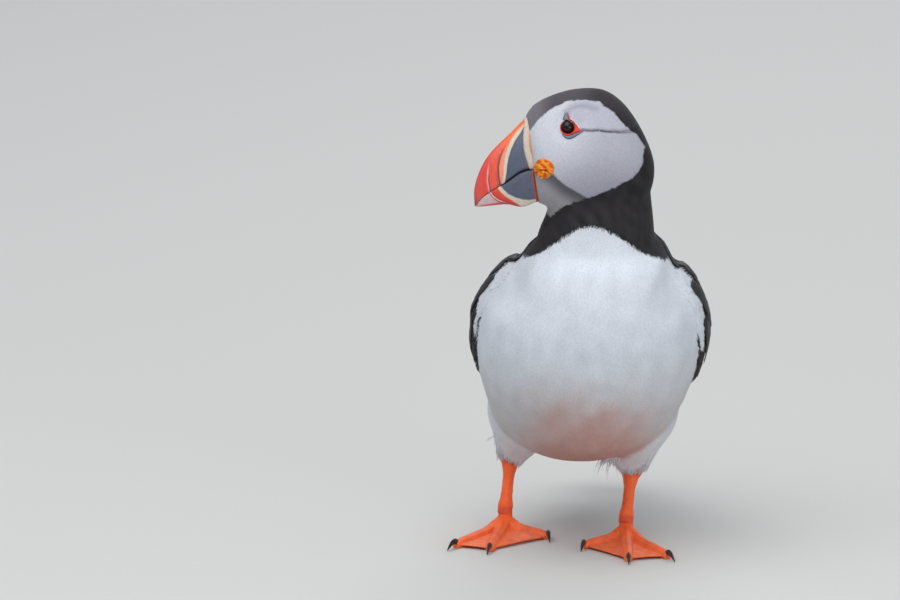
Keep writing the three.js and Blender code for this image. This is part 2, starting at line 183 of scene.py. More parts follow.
def waves(p, size, seed):
    """Smooth noise, about -1 to 1, with features of about that size."""
    draw, count = np.random.default_rng(seed), 7
    k = unit(draw.normal(size=(count, 3))) * draw.uniform(0.6, 1.5, (count, 1)) * 2 * np.pi / size
    phase = draw.uniform(0, 2 * np.pi, count)
    return np.sin(p @ k.T + phase).sum(-1) / math.sqrt(count * 0.9)


# ---------------------------------------------------------------- the bed of trunk, tail and wings
def lean(p):
    """The body's lean to its left, which grows with height."""
    high = p[..., 2] - LEAN_HEIGHT
    out = p.copy()
    out[..., 0] = p[..., 0] * math.cos(math.radians(BODY_LEAN)) + high * math.sin(math.radians(BODY_LEAN))
    return out


def bed(stations, along, degrees, fullness=0.94):
    """Points of the surface through the stations, degrees from the back, positive to the left."""
    st = spline(stations, along)
    c, s = np.sin(np.radians(degrees)), np.cos(np.radians(degrees))
    out = np.sign(c) * np.abs(c) ** fullness
    up = np.sign(s) * np.abs(s) ** fullness
    p = np.empty(np.broadcast(along, degrees).shape + (3,))
    p[..., 0] = st[..., 4] * out
    p[..., 1] = (st[..., 0] + st[..., 2]) / 2 + (st[..., 0] - st[..., 2]) / 2 * up
    p[..., 2] = (st[..., 1] + st[..., 3]) / 2 + (st[..., 1] - st[..., 3]) / 2 * up
    return p


def wing_surface(s, c, side):
    """The folded wing's outer face: s from wrist to tip, c from its upper to its lower edge."""
    w = spline(WING, s)
    c = np.clip(c, 0.0, 1.0)
    degrees = w[..., 1] + (w[..., 2] - w[..., 1]) * c
    height = w[..., 3] * (2 * np.sqrt(c * (1 - c))) ** 0.6
    p = bed(WING_BED, w[..., 0], degrees)
    across = bed(WING_BED, w[..., 0], degrees + 0.1) - p
    onward = bed(WING_BED, w[..., 0] + 1e-3, degrees) - p
    out = unit(np.cross(onward, across))
    away = np.stack([np.sin(np.radians(degrees)), 0 * degrees, np.cos(np.radians(degrees))], -1)
    out *= np.sign((out * away).sum(-1, keepdims=True))
    p = p + out * (GAP + height)[..., None]
    p[..., 0] *= side
    out[..., 0] *= side
    return lean(p), out


# ---------------------------------------------------------------- mesh helpers
def make_object(name, points, faces, colours, material=None, uv=None, normals=None):
    """An object from arrays: points in the bird's frame, and faces of three corners."""
    me = bpy.data.meshes.new(name)
    faces = np.asarray(faces)
    me.vertices.add(len(points))
    me.vertices.foreach_set("co", place(points).astype(np.float32).ravel())
    me.loops.add(faces.size)
    me.loops.foreach_set("vertex_index", faces.astype(np.int32).ravel())
    me.polygons.add(len(faces))
    me.polygons.foreach_set("loop_start", np.arange(0, faces.size, faces.shape[1], dtype=np.int32))
    me.update(calc_edges=True)
    me.validate()
    me.polygons.foreach_set("use_smooth", np.ones(len(me.polygons), bool))
    paint(me, "Col", colours)
    if uv is not None:
        layer = me.uv_layers.new(name="OFBake")
        layer.data.foreach_set("uv", uv[faces.ravel()].astype(np.float32).ravel())
    if normals is not None:
        me.normals_split_custom_set_from_vertices(unit(normals))
    if material is not None:
        me.materials.append(material)
    return linked(name, me)


def linked(name, data):
    """A new object of that data, in the scene."""
    o = bpy.data.objects.new(name, data)
    bpy.context.collection.objects.link(o)
    return o


def paint(me, name, colours):
    rgba = np.ones((len(me.vertices), 4), np.float32)
    rgba[:, :3] = colours
    me.color_attributes.new(name, "FLOAT_COLOR", "POINT").data.foreach_set("color", rgba.ravel())


def points_of(me):
    co = np.empty(len(me.vertices) * 3, np.float32)
    me.vertices.foreach_get("co", co)
    return co.reshape(-1, 3).astype(float)


def set_points(me, points):
    me.vertices.foreach_set("co", points.astype(np.float32).ravel())
    me.update()


def normals_of(me):
    n = np.empty(len(me.vertices) * 3, np.float32)
    me.vertex_normals.foreach_get("vector", n)
    return n.reshape(-1, 3).astype(float)


def edges_of(me):
    e = np.empty(len(me.edges) * 2, np.int32)
    me.edges.foreach_get("vertices", e)
    return e.reshape(-1, 2)


def blur(values, edges, rounds, share=0.5):
    """Laplacian smoothing of values per vertex."""
    count = np.bincount(edges.ravel(), minlength=len(values)).clip(1)[:, None]
    for _ in range(rounds):
        total = np.stack([
            np.bincount(edges[:, 0], values[edges[:, 1], k], len(values))
            + np.bincount(edges[:, 1], values[edges[:, 0], k], len(values))
            for k in range(values.shape[1])
        ], 1)
        values = values + share * (total / count - values)
    return values


def even(values, edges, rounds):
    """Smoothing that keeps the volume (Taubin's)."""
    for _ in range(rounds):
        values = blur(values, edges, 1, 0.5)
        values = blur(values, edges, 1, -0.53)
    return values


def even_wide(values, edges, rounds):
    """Smoothing of the larger facets, with what the forms lose put back."""
    slack = blur(values, edges, rounds)
    return slack + blur(values - slack, edges, rounds)


def cad_solid(names, grow):
    """A joined mesh of CAD nodes, each grown by so many millimetres to close the cuts."""
    whole = bmesh.new()
    for name in names:
        bm = bmesh.new()
        bm.from_mesh(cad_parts[name].data)
        bmesh.ops.remove_doubles(bm, verts=bm.verts, dist=2e-6)
        bm.normal_update()
        for v in bm.verts:
            v.co += v.normal * grow * 0.001
        me = bpy.data.meshes.new(name + "_grown")
        bm.to_mesh(me)
        whole.from_mesh(me)
        bm.free()
        bpy.data.meshes.remove(me)
    me = bpy.data.meshes.new("grown")
    whole.to_mesh(me)
    whole.free()
    return me


def evaluated(o):
    dg = bpy.context.evaluated_depsgraph_get()
    me = bpy.data.meshes.new_from_object(o.evaluated_get(dg))
    bpy.data.objects.remove(o)
    return me


def remeshed(me, voxel):
    o = linked("remesh", me)
    m = o.modifiers.new("remesh", "REMESH")
    m.mode = "VOXEL"
    m.voxel_size = voxel * 0.001
    return evaluated(o)


def tree_of(me):
    me.calc_loop_triangles()
    tri = np.empty(len(me.loop_triangles) * 3, np.int32)
    me.loop_triangles.foreach_get("vertices", tri)
    tri = tri.reshape(-1, 3)
    co = points_of(me) * 1000 - SHIFT
    return BVHTree.FromPolygons(co.tolist(), tri.tolist()), co, tri


def nearest(tree, points):
    """Nearest surface points, their normals and distances."""
    found = [tree.find_nearest(p) for p in points.tolist()]
    loc = np.array([f[0] for f in found])
    nrm = np.array([f[1] for f in found])
    return loc, nrm, np.array([f[3] for f in found])


# ---------------------------------------------------------------- the skin
def node_tree(name):
    """For finding the nearest place on one node of the solids."""
    me = cad_solid([name], 0.0)
    tree = tree_of(me)[0]
    bpy.data.meshes.remove(me)
    return tree


def membership(points, edges):
    """How far each skin vertex belongs to each node of flesh, softened across their borders."""
    far = np.stack([nearest(node_tree(name), points)[2] for name in FLESH], 1)
    share = np.zeros_like(far)
    share[np.arange(len(far)), far.argmin(1)] = 1
    return blur(share, edges, 6)


# What the coat is like on each node of FLESH: its depth, and a tuft's length and width.
COAT = np.array([
    (0.22, 2.6, 0.46), (0.5, 4.4, 0.6), (0.6, 6.8, 0.85), (0.5, 6.0, 0.85),
    (0.9, 5.0, 0.8), (0.9, 5.0, 0.8), (0.75, 7.0, 0.8), (0.75, 7.0, 0.8),
])


def side_view(co):
    """Points as the head's side view shows them, with their depth, and which side each is of."""
    h = in_head(co)
    mirror = np.stack([np.ones(len(h)), np.where(h[:, 1] < 0, -1.0, 1.0), np.ones(len(h))], 1)
    return (h * mirror) @ SIGHT.T, mirror


def from_side_view(view, mirror):
    return from_head((view @ np.linalg.inv(SIGHT.T)) * mirror)


def over_sockets(co):
    """The pits that the solids' eyes leave in the head, filled level with the cheek round them."""
    view, mirror = side_view(co)
    v = view[:, :2] - EYE_SPOT
    r = np.hypot(v[:, 0], v[:, 1])
    on = (co[:, 2] > HEAD_BASE) & (view[:, 2] > 5)
    terms = np.stack([np.ones(len(v)), v[:, 0], v[:, 1], v[:, 0] ** 2, v[:, 0] * v[:, 1], v[:, 1] ** 2], 1)
    ring = on & (r > 5.0) & (r < 9.0)
    for _ in range(3):
        fit = np.linalg.lstsq(terms[ring], view[ring, 2], rcond=None)[0]
        ring = on & (r > 5.0) & (r < 9.0) & (np.abs(view[:, 2] - terms @ fit) < 0.5)
    view[:, 2] += (terms @ fit - view[:, 2]) * on * smooth(5.6, 4.2, r)
    return from_side_view(view, mirror)


def eye_wells(me):
    """The skin pressed in behind the lids, out of the eyeballs' way."""
    bm = bmesh.new()
    bm.from_mesh(me)
    co = points_of(me) * 1000 - SHIFT
    near = (from_eye(co) < 5.5) & (co[:, 2] > HEAD_BASE)
    edges = [e for e in bm.edges if near[e.verts[0].index] and near[e.verts[1].index]]
    bmesh.ops.subdivide_edges(bm, edges=edges, cuts=3, use_grid_fill=True)
    bmesh.ops.triangulate(bm, faces=[f for f in bm.faces if len(f.verts) > 4])
    bm.to_mesh(me)
    bm.free()
    co = points_of(me) * 1000 - SHIFT
    view, mirror = side_view(co)
    view[:, 2] -= 3.6 * smooth(3.45, 3.15, from_eye(co)) * (co[:, 2] > HEAD_BASE)
    set_points(me, place(from_side_view(view, mirror)))


def sunk(p):
    """How far the shoulders lie inside the plain solids, so that they slope as in the photo."""
    off, height = p[..., 0] - BREAST_MIDDLE, p[..., 2]
    away, on_left = np.abs(off), off > 0
    left = 5.4 * smooth(100, 141, height) * on_left
    right = 3.6 * smooth(113, 138, height) * ~on_left
    starts = 20 + 9 * smooth(126, 142, height)
    shoulder = (left + right) * smooth(172, 158, height) * smooth(starts, 41, away)
    neck = np.where(on_left, -0.9, 1.3) * bell(height - np.where(on_left, 157, 166), 8)
    return shoulder + neck * smooth(13, 21, away)


def body_skin():
    """The plumage solids as one smooth body, sunk by the depth of the coat that lies over it."""
    me = remeshed(cad_solid(FLESH, 0.35), 1.35)
    co = points_of(me) * 1000 - SHIFT
    edges = edges_of(me)
    share = membership(co, edges)
    h = in_head(co)
    front = smooth(18, 25, h[:, 0]) * smooth(150, 170, co[:, 2])
    slack = blur(co, edges, 26)  # where neck, shoulders and thighs join, the cuts are smoothed over
    joins = blur((share.max(1) < 0.85).astype(float)[:, None], edges, 8)[:, 0] * (1 - front)
    thin = share[:, 3:6].sum(1)
    big = even_wide(co, edges, 60)
    co = even(co, edges, 30)
    co = co + (big - co) * ((1 - front) * smooth(0.7, 0.2, thin))[:, None]
    co = co + (slack - co) * (smooth(0.05, 0.5, joins) * 0.7)[:, None]
    co = over_sockets(co)
    set_points(me, place(co))
    co = co - unit(blur(normals_of(me), edges, 90)) * sunk(co)[:, None]
    set_points(me, place(co))
    n = normals_of(me)
    q = seen(co)
    cheek = (h[:, 2] > 0) * (np.abs(h[:, 1]) > 6) * (co[:, 2] > 165)
    fold, far = past(q, CREASE), near_line(q, CREASE)[0]
    push = cheek * (0.5 * bell(fold + 1.4, 1.3) * (far < 4) - 0.95 * bell(far, 0.55))
    push -= 0.35 * cheek * bell(near_line(q, BROW_FOLD)[0], 1.0)
    push += 0.25 * np.exp(-(from_eye(co) / 4.5) ** 4) * (co[:, 2] > 165)
    push += 0.2 * waves(co, 24, 13) * smooth(165, 140, co[:, 2]) * smooth(40, 60, co[:, 2])
    co = co + n * push[:, None]
    depth = blur(share @ COAT[:, :1], edges, 4)[:, 0]
    bare = bell(h[:, 0] - 30, 4.0) * (co[:, 2] > 165)
    co = co - n * (depth * (1 - 0.8 * bare))[:, None]
    set_points(me, place(co))
    return me, co, share


def toe_line(leg, end):
    """Points along a toe's middle, from the joint to its end."""
    joint = np.array(leg["joint"])
    at = lambda t, z: (*(joint[:2] + (np.array(end) - joint[:2]) * t), z)
    return np.array([at(0, 6.2), at(0.16, 4), at(0.34, 2.4), at(0.56, 2.1), at(0.78, 1.95), at(1, 1.6)])


def along_line(points, a, b):
    """Share of the way from a to b, and the distance from that line."""
    a, b = np.asarray(a, float), np.asarray(b, float)
    d = b - a
    t = (points - a) @ d / (d @ d)
    return t, np.linalg.norm(points - a - np.clip(t, 0, 1)[:, None] * d, axis=1)


def pinch(x, sharp=0.35):
    """0 across a plate and 1 in the groove to the next, for x counted in plates."""
    f = np.abs((x % 1) - 0.5) * 2
    return smooth(1 - sharp, 1, f)


def shank_relief(co, n, up, off):
    """Plates across the shank's front, small scales behind, and its slimmer middle and joint."""
    around = smooth(9, 7, off)
    front = smooth(-0.1, 0.5, -n[:, 1])
    shank = smooth(0.02, 0.12, up) * around
    plates = pinch(up * 10.5 + 0.25 * waves(co, 14, 5))
    push = -0.12 * plates * front * shank * smooth(1.0, 0.85, up)
    push += 0.07 * waves(co, 2.1, 6) * shank * (1 - front)
    push += 0.2 * np.abs(waves(co, 2.6, 7)) * smooth(0.86, 1.0, up) * around
    push -= 0.85 * bell(up - 0.04, 0.15) * around * smooth(5, 8, co[:, 2])
    push -= 0.12 * pinch(up * 18) * smooth(0.2, 0.0, np.abs(up)) * front * smooth(8, 6, off)
    push -= 0.8 * smooth(0.08, 0.35, up) * smooth(0.98, 0.62, up) * around
    return push


def add_toe_relief(push, co, n, up, leg):
    """Plates over the toes, and wrinkles in the webs between them."""
    toe = np.full(len(co), 99.0)
    step = np.zeros(len(co))
    for end in leg["toes"].values():
        line = toe_line(leg, end)
        t, away = along_line(co * (1, 1, 0), line[0] * (1, 1, 0), line[-1] * (1, 1, 0))
        near = away < toe
        toe[near] = away[near]
        step[near] = t[near] * np.linalg.norm(line[-1] - line[0]) / TOE_PLATE
    top = smooth(0.25, 0.7, n[:, 2]) * smooth(0.1, 0.0, up)
    on_toe = smooth(3.0, 1.9, toe)
    push -= 0.2 * pinch(step, 0.4) * top * on_toe
    push -= 0.16 * smooth(0.5, 0.9, waves(co * (1, 1, 0.3), 2.4, 9)) * top * (1 - on_toe)
    push += 0.1 * waves(co * (1, 1, 0.3), 5.0, 10) * top * (1 - on_toe)


TOE_PLATE = 1.75  # the length of one plate over a toe
SOLE = 0.02  # how far the soles keep above the floor


def leg_skin(side):
    """Shank, toes and webs of one side, with their plates."""
    me = remeshed(cad_solid([f"shank_{side}", f"foot_{side}"], 0.17), 0.4)
    co = points_of(me) * 1000 - SHIFT
    edges = edges_of(me)
    leg = LEGS[side]
    joint, ankle = np.array(leg["joint"]), np.array(leg["ankle"])
    up, off = along_line(co, joint, ankle)
    slack = blur(co, edges, 60)
    co = even(co, edges, 8)
    joint_share = 0.85 * bell(up - 0.05, 0.2) * smooth(14, 9, off) * smooth(2, 5, co[:, 2])
    co = co + (slack - co) * joint_share[:, None]
    set_points(me, place(co))
    n = normals_of(me)
    up, off = along_line(co, joint, ankle)
    push = shank_relief(co, n, up, off)
    add_toe_relief(push, co, n, up, leg)
    co = co + n * push[:, None]
    co[:, 2] = np.maximum(co[:, 2], SOLE - SHIFT[2])
    set_points(me, place(co))
    return me


def united(me, other):
    """One closed body of two, so that no seam shows between them."""
    a, b = linked("body", me), linked("leg", other)
    m = a.modifiers.new("join", "BOOLEAN")
    m.operation, m.solver, m.object = "UNION", "MANIFOLD", b
    me = evaluated(a)
    bpy.data.objects.remove(b)
    return me


# ---------------------------------------------------------------- lines of the face
# Lines on the head are drawn in its side view, from a little ahead and above: millimetres towards
# the bill's tip and upwards of the skull's centre, alike on both cheeks.
SIGHT = np.array([(0.9841, -0.1772, -0.0133), (-0.0016, -0.0837, 0.9965), (0.1777, 0.9806, 0.0826)])
CHEEK = np.array([
    (29.1, 8.7), (25.4, 13.3), (19.9, 17.9), (12.5, 21.8), (5.1, 22.5), (-2.7, 21.8), (-4.1, 19.7),
    (-9.2, 16.7), (-14.7, 10.3), (-19.3, 7.3), (-23.5, 1.7), (-22.1, -7.5), (-17.9, -13.0),
    (-9.6, -17.6), (1.0, -21.8), (8.4, -24.1), (14.6, -26.4), (18.5, -29.0), (24.5, -33),
    (40, -30), (40, 4),
])
CREASE = np.array([(5.6, 8.4), (1.5, 8.1), (-2.2, 8.4), (-5.5, 7.9), (-12.4, 7.7), (-17.4, 8.2)])
DUSK_EDGE = np.array([(5.0, -21.4), (9.3, -19.0), (13.0, -16.7), (16.2, -14.0), (19.9, -10.3)])
BROW_FOLD = np.array([(12.5, 16.7), (10.2, 18.6), (7.0, 19.5), (2.8, 19.5), (-0.8, 18.3)])
EYE_SPOT = np.array([11.7, 10.0])
# the red ring's outer edge round the eye: degrees from the rear upwards, and radius
EYE_RING = np.array([
    (-142, 3.8), (-112, 4.2), (-89, 4.16), (-64, 3.95), (-38, 4.3), (-23, 6.0), (-17, 6.7),
    (-6, 4.95), (22, 3.84), (56, 3.6), (80, 3.9), (97, 3.3), (114, 3.25), (152, 3.45), (184, 3.62),
])
BROW_PLATE = np.array([(12.5, 13.25), (12.45, 14.3), (12.4, 15.5), (12.4, 16.7)])
BROW_HALF = np.array([1.6, 1.35, 0.85, 0.2])
BROW_LINE = np.array([(10.8, 13.0), (11.0, 14.0), (11.35, 15.3), (11.7, 16.4)])
BROW_LINE_HALF = np.array([0.3, 0.26, 0.22, 0.12])
LOWER_PLATE = np.array([(14.2, 6.6), (12.7, 5.5), (11.0, 5.2), (9.1, 5.9), (7.0, 6.9), (4.7, 8.0)])
LOWER_HALF = np.array([0.15, 0.6, 0.85, 0.75, 0.45, 0.12])
ROSETTE_SPOT, ROSETTE_SIZE = np.array([22.7, -9.2]), np.array([4.6, 4.7])
GAPE_FOLD = np.array([(29.5, -10.0), (25.9, -12.1), (21.6, -13.7)])
FACE_EDGE = np.array([
    (28.6, 14.0), (28.6, 12.0), (28.5, 8.3), (29.2, 3.7), (29.1, 0.0), (28.5, -3.7), (27.6, -7.4),
    (27.9, -12.6), (27.2, -18), (26.3, -23.2), (26.0, -26),
])


def seen(p):
    """Where points are in the head's side view."""
    h = in_head(p)
    h[..., 1] = np.abs(h[..., 1])
    return h @ SIGHT[:2].T


def from_eye(p):
    """Distance from the eye's middle in the side view."""
    return np.hypot(*(seen(p) - EYE_SPOT).T)


def from_segments(points, a, b, low=0.0, high=1.0):
    """The share of each segment from a to b at which each point is nearest, and the way from there."""
    p = points[:, None, :]
    d = b - a
    t = np.clip(((p - a) * d).sum(-1) / (d * d).sum(-1), low, high)
    return t, p - a - t[..., None] * d


def past(points, line):
    """Distance from an open line carried on past its ends, positive on its left as it runs."""
    a, b = line[None, :-1], line[None, 1:]
    low, high = np.zeros(len(line) - 1), np.ones(len(line) - 1)
    low[0], high[-1] = -9, 9
    gap = from_segments(points, a, b, low, high)[1]
    far = np.linalg.norm(gap, axis=-1)
    i = far.argmin(1)
    row = np.arange(len(points))
    d = b - a
    turn = d[0, i, 0] * gap[row, i, 1] - d[0, i, 1] * gap[row, i, 0]
    return np.sign(turn) * far[row, i]


def near_line(points, line):
    """Distance from an open line, and the share of its segments passed."""
    t, gap = from_segments(points, line[None, :-1], line[None, 1:])
    far = np.linalg.norm(gap, axis=-1)
    i = far.argmin(1)
    row = np.arange(len(points))
    return far[row, i], (i + t[row, i]) / (len(line) - 1)


def ring_radius(degrees):
    """How far the red ring reaches from the eye's middle, in each direction."""
    return np.interp(degrees, EYE_RING[:, 0], EYE_RING[:, 1], period=360)


def bare(p):
    """Where the head has no feathers: the eye's ring and plates, the rosette and the bill."""
    q = seen(p)
    v = q - EYE_SPOT
    out = np.hypot(*v.T) < ring_radius(np.degrees(np.arctan2(v[:, 1], -v[:, 0]))) - 0.1
    for line, half in ((BROW_PLATE, BROW_HALF), (LOWER_PLATE, LOWER_HALF)):
        far, share = near_line(q, line)
        out |= far < np.interp(share * (len(half) - 1), np.arange(len(half)), half) - 0.1
    out |= np.hypot(*((q - ROSETTE_SPOT) / ROSETTE_SIZE).T) < 0.93
    out |= (past(q, FACE_EDGE) > -0.2) & (q[:, 0] > 22)
    return out & (p[:, 2] > HEAD_BASE)


def in_lids(p):
    """Whether points lie over the eye, where no tuft may end."""
    return (from_eye(p) < LID_RADIUS + 0.2) & (p[:, 2] > HEAD_BASE)


# ---------------------------------------------------------------- markings
def outline_distance(points, outline):
    """Distance from points to a closed outline, positive inside."""
    p = points[:, None, :]
    a, b = outline[None], np.roll(outline, -1, 0)[None]
    d = b - a
    gap = np.linalg.norm(from_segments(points, a, b)[1], axis=-1).min(1)
    crosses = ((a[..., 1] > p[..., 1]) != (b[..., 1] > p[..., 1])) & (
        p[..., 0] < d[..., 0] * (p[..., 1] - a[..., 1]) / (b[..., 1] - a[..., 1] + 1e-12) + a[..., 0])
    return np.where(crosses.sum(1) % 2 == 1, gap, -gap)


def bed_place(points):
    """Where on the trunk's bed each point lies: along it, and degrees from the back."""
    along, degrees = np.meshgrid(np.linspace(0, 1, 90), np.arange(0, 360, 4.0), indexing="ij")
    spots = lean(bed(TRUNK, along, degrees)).reshape(-1, 3)
    tree = KDTree(len(spots))
    for i, p in enumerate(spots.tolist()):
        tree.insert(p, i)
    tree.balance()
    i = np.array([tree.find(p)[1] for p in points.tolist()])
    d = degrees.ravel()[i]
    return along.ravel()[i], np.where(d > 180, d - 360, d)


SNOW = srgb(214, 219, 227)
# cream and rose lie low on the belly as painted shade; the rose is also a real stain there
CREAM = srgb(192, 187, 186)
ROSE = srgb(198, 148, 138)
JET = srgb(30, 27, 30)
SOOT = srgb(52, 49, 54)
CROWN = srgb(84, 78, 84)
PALE = srgb(206, 208, 216)
DUSK = srgb(92, 91, 99)
FOREHEAD = srgb(128, 122, 130)
# greys that paint shade on the cheek: towards its rear and low down, above and behind the eye, in the brow's
# fold and the crease; the chin's grey is its own
CHEEK_REAR_SHADE, CHEEK_LOW_SHADE, CHIN_GREY = srgb(168, 166, 178), srgb(152, 151, 165), srgb(168, 166, 170)
BROW_SHADE, FOLD_SHADE, CREASE_SHADE = srgb(186, 186, 198), srgb(150, 150, 162), srgb(96, 94, 104)
# the rose deepened for the painted shade lowest on the belly
DEEP_ROSE = ROSE * (0.82, 0.7, 0.66)
FLANK_GREY = srgb(150, 145, 148)
LID_RED = srgb(232, 70, 46)
PLATE_GREY, PLATE_EDGE = srgb(104, 116, 136), srgb(66, 74, 92)


def facing(p, n):
    """How much a place faces forwards; high on the shoulders the white reaches further back."""
    on_left = p[..., 0] > 4
    up = np.clip(n[..., 2], 0, 1)
    z = p[..., 2]
    left = 0.1 * bell(z - 126, 8) - 0.14 * smooth(118, 108, z)
    right = -0.25 * smooth(128, 116, z)
    high = np.where(on_left, left, right) + up * (0.3 * smooth(105, 128, z) + 0.12 * smooth(128, 140, z))
    low = np.where(on_left, 0.3, 0.1) * smooth(104, 94, z) * smooth(64, 72, z)
    return -n[..., 1] + high - low


def flank_over_wing(p, n):
    """Where the flank's feathers lie over the front of the wing's edge."""
    ahead = facing(p, n) + 0.05 * waves(p, 8, 27)
    return smooth(0.37, 0.46, ahead) * smooth(156, 150, p[:, 2]) * smooth(54, 60, p[:, 2])


# degrees from the back at which the white begins, along the trunk from tail to neck
FLANK_EDGE = np.array([92, 84, 80, 79, 79, 79, 79, 77, 76, 77, 82.0])


def dark_colours(p, h):
    """Black, a little browner in places; lighter towards the top and front of the crown and palest behind the
    bill, a painted highlight of the crown's sheen.
    """
    z = p[:, 2]
    dark = mix(JET, SOOT, smooth(0.0, 1.0, 0.5 + 0.35 * waves(p, 9, 23)) * 0.5)
    on_neck = smooth(138, 150, z) * smooth(182, 170, z)
    dark = mix(dark, SOOT, (0.5 + 0.25 * waves(p, 6, 29)) * on_neck)
    # painted highlight of the sheen: lighter over the top and front of the crown, palest on the forehead
    crown = smooth(-4, 12, h[:, 0]) * smooth(8, 14, h[:, 2])
    dark = mix(dark, CROWN, (0.25 + 0.75 * crown) * smooth(10, 24, h[:, 2]) * smooth(165, 185, z))
    return mix(dark, FOREHEAD, smooth(19, 29, h[:, 0]) * (h[:, 2] > 0) * (z > 165) * 0.8)


def cheek_colours(q):
    """Pale above; painted shade greys it towards the rear, low down, above and behind the eye, along the fold
    over the brow and in the crease behind the eye; dusky round the chin.
    """
    # painted shade: greyer towards the rear, low down, above and behind the eye and in the brow's fold
    side = mix(PALE, CHEEK_REAR_SHADE, smooth(20, -8, q[:, 0] + 0.3 * q[:, 1]) * 0.75)
    side = mix(side, CHEEK_LOW_SHADE, smooth(2, -20, q[:, 1]) * 0.65)
    side = mix(side, BROW_SHADE, smooth(16, 4, q[:, 0]) * smooth(7, 14, q[:, 1]) * 0.9)
    side = mix(side, FOLD_SHADE, bell(near_line(q, BROW_FOLD)[0], 1.6) * 0.6)
    # painted shade in the crease behind the eye
    side = mix(side, CREASE_SHADE, bell(near_line(q, CREASE)[0], 0.55) * 0.9)
    chin = -past(q, DUSK_EDGE)
    side = mix(side, CHIN_GREY, smooth(-0.6, 0.6, chin) * smooth(-8, -12, q[:, 1]))
    dusk = smooth(-0.4, 0.5, chin) * (1 - 0.9 * smooth(1.2, 8, chin)) * smooth(-9, -12, q[:, 1])
    return mix(side, DUSK, dusk)


def whiteness(p, n, share, ragged):
    """How white each point of the body is, and how near to the white flank's upper edge."""
    along, degrees = bed_place(p)
    turn = np.degrees(np.arctan2(p[:, 0] - 4.5, -(p[:, 1] + 26)))
    collar = 165.2 - 20.5 * smooth(0, 95, np.abs(turn)) + 0.8 * ragged
    below = np.abs(degrees) - spline(FLANK_EDGE[:, None], along)[:, 0]
    under = smooth(-1.5, 1.5, below + 2.0 * ragged)
    white = under * smooth(-0.5, 0.5, collar - p[:, 2])
    white = np.maximum(white, smooth(0.3, 0.6, share[:, ON_THIGHS].sum(1)))
    wings = share[:, ON_WINGS].sum(1)
    rim = flank_over_wing(p, n)
    white = np.maximum(white * smooth(0.7, 0.4, wings), rim * smooth(0.4, 0.6, wings))
    tail = smooth(0.3, 0.6, share[:, ON_TAIL])
    white = white * (1 - tail) + tail * smooth(0.0, -0.35, n[:, 2]) * smooth(97, 90, p[:, 1] + 2 * ragged)
    return white, smooth(8, 0, below) * under


def pale_colours(p, legs, flank):
    """White, greyer towards the flank's upper edge; creamier, darker and rosier low on the belly, where the
    rose is partly a real stain and partly painted shade and warm light thrown up from below; painted lighter
    just under the collar and on the thighs.
    """
    x, y, z = p.T
    # painted rose: partly a real stain on the belly, partly painted shade under it and warm light thrown up
    # from below
    rosy_stain_and_shade = (1 - 0.95 * legs) * smooth(98, 52, z + 4 * waves(p, 22, 24))
    rosy_stain_and_shade *= smooth(40, 12, np.abs(x - 1)) * smooth(46, 16, y)
    # painted shade: creamier and darker low down
    plain = mix(SNOW, CREAM, smooth(110, 55, z) * (1 - 0.8 * legs) * 0.8)
    plain = mix(plain, ROSE, rosy_stain_and_shade * (0.86 + 0.06 * waves(p, 7, 28)))
    plain = mix(plain, DEEP_ROSE, rosy_stain_and_shade * smooth(62, 42, z) * 0.6)
    # painted light just under the collar, against the head's shadow; and on the thighs, against the belly's
    # shadow
    painted_light_under_collar = bell(z - 152, 11) * smooth(-10, -35, y)
    plain = plain * (1 + 0.03 * waves(p, 11, 25) + 0.2 * painted_light_under_collar + 0.14 * legs)[:, None]
    return mix(plain, FLANK_GREY, flank * 0.6)


def markings(p, n, share):
    """The plumage colour of points, the same on skin and coat."""
    q = seen(p)
    ragged = 0.3 * waves(p, 2.2, 21) + 0.2 * waves(p, 6, 22)
    cheek = smooth(-0.3, 0.3, outline_distance(q, CHEEK) + 0.5 * ragged)
    cheek *= smooth(150, 160, p[:, 2])
    dark = dark_colours(p, in_head(p))
    white, flank = whiteness(p, n, share, ragged)
    body = mix(dark, pale_colours(p, share[:, ON_THIGHS].sum(1), flank), white)
    head = mix(dark, cheek_colours(q), cheek)
    return mix(body, head, smooth(148, 152, p[:, 2]) * (cheek > 0))


